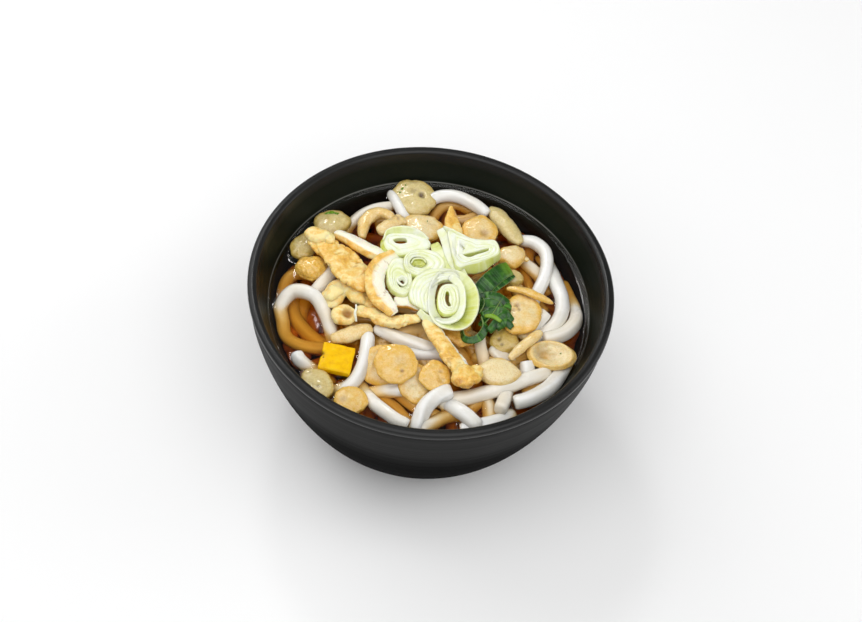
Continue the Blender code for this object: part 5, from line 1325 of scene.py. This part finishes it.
made["onion_green_2"] = onion("onion_green_2_food", "onion_green_2", [
    dict(points=[(-8.0, 4.6, -0.6), (-4.5, 6.6, 0.2), (0.5, 6.3, 0.6), (5.6, 5.0, -0.4)], width=[3.6, 5.0, 5.4, 3.6], thick=0.8, closed=False, axis=(0.1, 1.0, 0.5), seed=24, wave=.7, fold=.5, green=.0),
    dict(points=[(-7.6, 1.2, -0.9), (-3.5, 3.4, 0.4), (0.5, 2.3, 0.9), (4.6, -0.4, -0.2)], width=[3.6, 5.2, 5.0, 3.8], thick=0.8, closed=False, axis=(-0.2, 1.0, 0.2), seed=25, wave=.8, fold=-.4, green=.0),
    dict(points=[(-5.0, -2.6, -0.8), (-1.0, -0.8, 0.3), (3.5, -1.0, 0.6), (7.6, -3.4, -0.8)], width=[3.6, 4.8, 5.0, 3.4], thick=0.8, closed=False, axis=(0.3, 1.0, 0.6), seed=26, wave=.8, fold=.5, green=.0),
    dict(points=[(-5.2, -7.2, -0.8), (-2.8, -3.0, 0.0), (-0.5, 1.5, 1.3), (1.2, 5.8, 0.6)], width=[2.6, 3.6, 3.4, 2.4], thick=0.8, closed=False, axis=(1.0, -0.3, 0.6), seed=27, wave=.6, fold=.5, green=.0),
    dict(points=[(-1.5, -9.6, -1.0), (1.5, -5.4, 0.0), (4.4, -1.0, 0.9), (5.6, 4.6, 0.2)], width=[2.8, 4.0, 4.0, 2.8], thick=0.8, closed=False, axis=(1.0, -0.2, -0.3), seed=28, wave=.7, fold=-.5, green=.0),
    dict(points=[(1.6, -7.8, -1.0), (5.0, -4.6, -0.2), (8.0, -6.4, -0.9)], width=[2.6, 3.8, 2.4], thick=0.7, closed=False, axis=(0.2, 1.0, 0.5), seed=29, wave=.6, fold=.4, green=.0),
    dict(points=[(-3.8, -3.4, 1.0), (-0.4, -3.6, 1.5), (3.2, -5.2, 0.9)], width=[1.4, 2.0, 1.4], thick=0.8, closed=False, axis=(0.1, 1.0, 0.5), seed=30, wave=.3, fold=.3, green=1.0),
    dict(points=[(-6.8, -1.4, -0.4), (-5.6, 2.6, 0.6), (-6.4, 6.6, 0.2)], width=[2.4, 3.2, 2.2], thick=0.8, closed=False, axis=(1.0, 0.1, 0.7), seed=31, wave=.5, fold=.4, green=.0),
], M_GREEN, "onion_green")
made["onion_green_3"] = onion("onion_green_3_food", "onion_green_3", [
    dict(points=[(-4.6, -0.6, -0.6), (-3.2, -4.4, -0.6), (0.0, -5.2, -0.2), (3.2, -3.2, 0.2), (4.8, 1.5, 0.6), (3.2, 6.2, 1.1)], width=[2.2, 2.8, 3.2, 3.4, 3.4, 2.8], thick=0.8, closed=False, axis=(-0.3, 0.4, 1.0), seed=32, lean=-30, wave=.2, green=.1),
], M_GREEN, "onion_green")


# ---------------------------------------------------------------- small extras
def top_of(ob, x, y):
    """Height of a piece's top at (x, y), in mm."""
    tree = BVHTree.FromObject(ob, bpy.context.evaluated_depsgraph_get())
    hit = tree.ray_cast(Vector((x * MM, y * MM, 0.2)), Vector((0, 0, -1)))[0]
    return hit.z / MM if hit is not None else None


flecks = Geo()
for i, (host, dx, dy, size, yaw) in enumerate([
        ("batter_bit_02", -1.2, 3.9, 1.70, 12), ("batter_bit_02", 0.9, 3.7, 1.10, -25), ("batter_bit_02", -3.2, 3.2, 0.90, 50),
        ("batter_bit_02", 1.8, 3.9, 0.55, 10), ("batter_bit_01", -5.4, 2.6, 0.85, 60), ("batter_bit_01", -6.2, 0.6, 0.60, 15),
        ("batter_bit_01", -4.2, 4.4, 0.50, 100), ("batter_bit_15", 3.6, 1.8, 0.42, 30), ("batter_bit_08", 1.4, 2.2, 0.38, 80)]):
    cx, cy = mid(host)[0] + dx, mid(host)[1] + dy
    z = top_of(made[host], cx, cy)
    if z is None:
        continue
    d, q = cube_sphere(6)
    v = d * (size, size * 0.55, 0.22)
    v = v + 0.10 * size * np.stack([noise(d * 2.0, 1.0, 70 + i), noise(d * 2.0, 1.0, 80 + i), 0.3 * noise(d * 2.0, 1.0, 90 + i)], 1)
    v[:, 2] += 0.10 * (v[:, 0] / size) ** 2
    flecks.add(rotated(v, yaw, 0, 0) + np.array([cx, cy, z + 0.05]), q, None, fibre=0.5 + 0.4 * np.sin(6 * d[:, 0]), edge=0.0, out=0.5 + 0.5 * sstep(-0.4, 0.6, d[:, 1]))
made["green_flecks"] = flecks.object("green_flecks", M_GREEN, "onion_green")

sliver = Geo()
v, q, t, at = band(points=[(-29.6, -11.4, 74.2), (-29.2, -13.6, 74.6), (-29.4, -16.0, 74.2), (-28.4, -18.8, 72.4)], width=[0.6, 1.0, 1.1, 0.6],
                   thick=0.5, closed=False, axis=(1.0, 0.1, 0.5), seed=71, green=.0, wave=.1, step=0.3)
sliver.add(v, q, t, **at)
made["onion_sliver"] = sliver.object("onion_sliver", M_ONION, "onion_white")


# ---------------------------------------------------------------- broth
def build_broth():
    """Closed body of broth: inside the bowl's wall a little, its surface drawn up where it wets things."""
    wetted = []
    for o in [udon] + list(made.values()):
        co = np.zeros(len(o.data.vertices) * 3, np.float32)
        o.data.vertices.foreach_get("co", co)
        co = co.reshape(-1, 3) / MM
        near = co[np.abs(co[:, 2] - LEVEL) < 0.45]
        wetted.append(near)
    wetted = np.concatenate(wetted)
    tree = KDTree(len(wetted))
    for i, p in enumerate(wetted):
        tree.insert((p[0], p[1], 0.0), i)
    tree.balance()
    steps = 400
    edge = float(inner_radius(LEVEL))
    radii = np.concatenate([np.linspace(0.0, edge - 2.5, 118)[1:], edge - 2.5 + 2.5 * np.array([.16, .32, .48, .62, .75, .87, 1.0])])
    prof_top = [(0.0, LEVEL)] + [(float(r), LEVEL) for r in radii]
    rise = 1.1
    wall_line = [(float(inner_radius(LEVEL + rise)) + 0.35, LEVEL + rise), (float(inner_radius(LEVEL)) + 0.4, LEVEL - 0.6)]
    down = [(r + 0.4, z) for r, z in bowl_inside(FLOOR_Z, LEVEL - 2.0, 16)[::-1][:-1]]
    down = [(r, z - (0.35 if z < 20 else 0.0)) for r, z in down]
    prof = prof_top + wall_line + down + [(0.0, FLOOR_Z - 0.35)]
    g = Geo()
    g, v, q, t = revolve(g, prof, steps)
    n_top = len(radii)
    ring = v[:n_top * steps]
    gap = edge - np.hypot(ring[:, 0], ring[:, 1])
    h = rise * np.exp(-np.clip(gap, 0, None) / 0.85)
    d = np.array([tree.find((x, y, 0.0))[2] for x, y in ring[:, :2]])
    h = np.maximum(h, 0.55 * np.exp(-d / 0.75))
    ring[:, 2] += h + 0.05 * noise(ring * (1, 1, 0), 14.0, 3)
    v[:n_top * steps] = ring
    g.add(v, q[:, ::-1], t[:, ::-1])
    return g


broth = build_broth().object("broth_surface", M_BROTH, "broth", replaces=("broth",))


# ================================================================ stage
def mat_floor():
    m, nt, b = new_mat("pale_floor")
    soft = tex_noise(nt, 3.0, 3.0, 0.5)
    col = ramp(nt, soft, (0.3, (0.94, 0.94, 0.94)), (0.7, (0.96, 0.96, 0.96)))
    nt.links.new(col, b.inputs["Base Color"])
    b.inputs["Roughness"].default_value = 0.9
    b.inputs["Specular IOR Level"].default_value = 0.1
    return m


me = bpy.data.meshes.new("floor")
me.from_pydata([(-6, -6, 0), (6, -6, 0), (6, 6, 0), (-6, 6, 0)], [], [(0, 1, 2, 3)])
floor = bpy.data.objects.new("floor", me)
bpy.context.scene.collection.objects.link(floor)
me.materials.append(mat_floor())

world = bpy.data.worlds.new("studio")
bpy.context.scene.world = world
world.use_nodes = True
wn = world.node_tree
sky = wn.nodes["Background"]
geo_n = wn.nodes.new("ShaderNodeTexCoord")
split = wn.nodes.new("ShaderNodeSeparateXYZ")
wn.links.new(geo_n.outputs["Generated"], split.inputs[0])
fade = wn.nodes.new("ShaderNodeMapRange")          # darker behind the bowl than in front of it
fade.inputs["From Min"].default_value = -0.2
fade.inputs["From Max"].default_value = 0.5
fade.inputs["To Min"].default_value = 0.56
fade.inputs["To Max"].default_value = 0.21
wn.links.new(split.outputs["Y"], fade.inputs["Value"])
wn.links.new(fade.outputs["Result"], sky.inputs["Strength"])
sky.inputs["Color"].default_value = (1.0, 1.0, 1.0, 1.0)


def area(name, at, aim, size, power, colour=(1, 1, 1)):
    li = bpy.data.lights.new(name, "AREA")
    li.shape = "RECTANGLE"
    li.size, li.size_y = size
    li.energy = power
    li.color = colour
    ob = bpy.data.objects.new(name, li)
    bpy.context.scene.collection.objects.link(ob)
    ob.location = at
    d = Vector(aim) - Vector(at)
    ob.rotation_euler = d.to_track_quat("-Z", "Y").to_euler()
    return ob


area("overhead", (0.0, -0.42, 1.08), (0, 0, 0.06), (1.4, 1.1), 7.2)
area("key", (-0.52, 0.42, 0.62), (0, 0, 0.06), (0.70, 0.70), 2.5)
area("side", (0.75, 0.15, 0.45), (0, 0, 0.06), (0.4, 0.5), 1.0)
area("glint", (-0.22, 0.52, 0.78), (0, 0, 0.06), (0.13, 0.13), 0.75)

scene = bpy.context.scene
scene.view_settings.view_transform = "Standard"

cam_data = bpy.data.cameras.new("photo_view")
cam = bpy.data.objects.new("photo_view", cam_data)
scene.collection.objects.link(cam)
el = math.radians(51.7)
back = Vector((0.0, -math.cos(el), math.sin(el)))
right = Vector((1.0, 0.0, 0.0))
up = back.cross(right)
roll = math.radians(7.1)
xr = right * math.cos(roll) + up * math.sin(roll)
yr = up * math.cos(roll) - right * math.sin(roll)
rot = Matrix((xr, yr, back)).transposed().to_4x4()
cam.matrix_world = Matrix.Translation(back * 0.8 + Vector((0, 0, RIM_Z * MM))) @ rot
cam_data.sensor_width = 36.0
cam_data.lens = 1963.0 * 36.0 / 862.0
cam_data.shift_x = -0.0012
cam_data.shift_y = (282.6 - 311.0) / 862.0
cam_data.clip_start = 0.01
scene.camera = cam
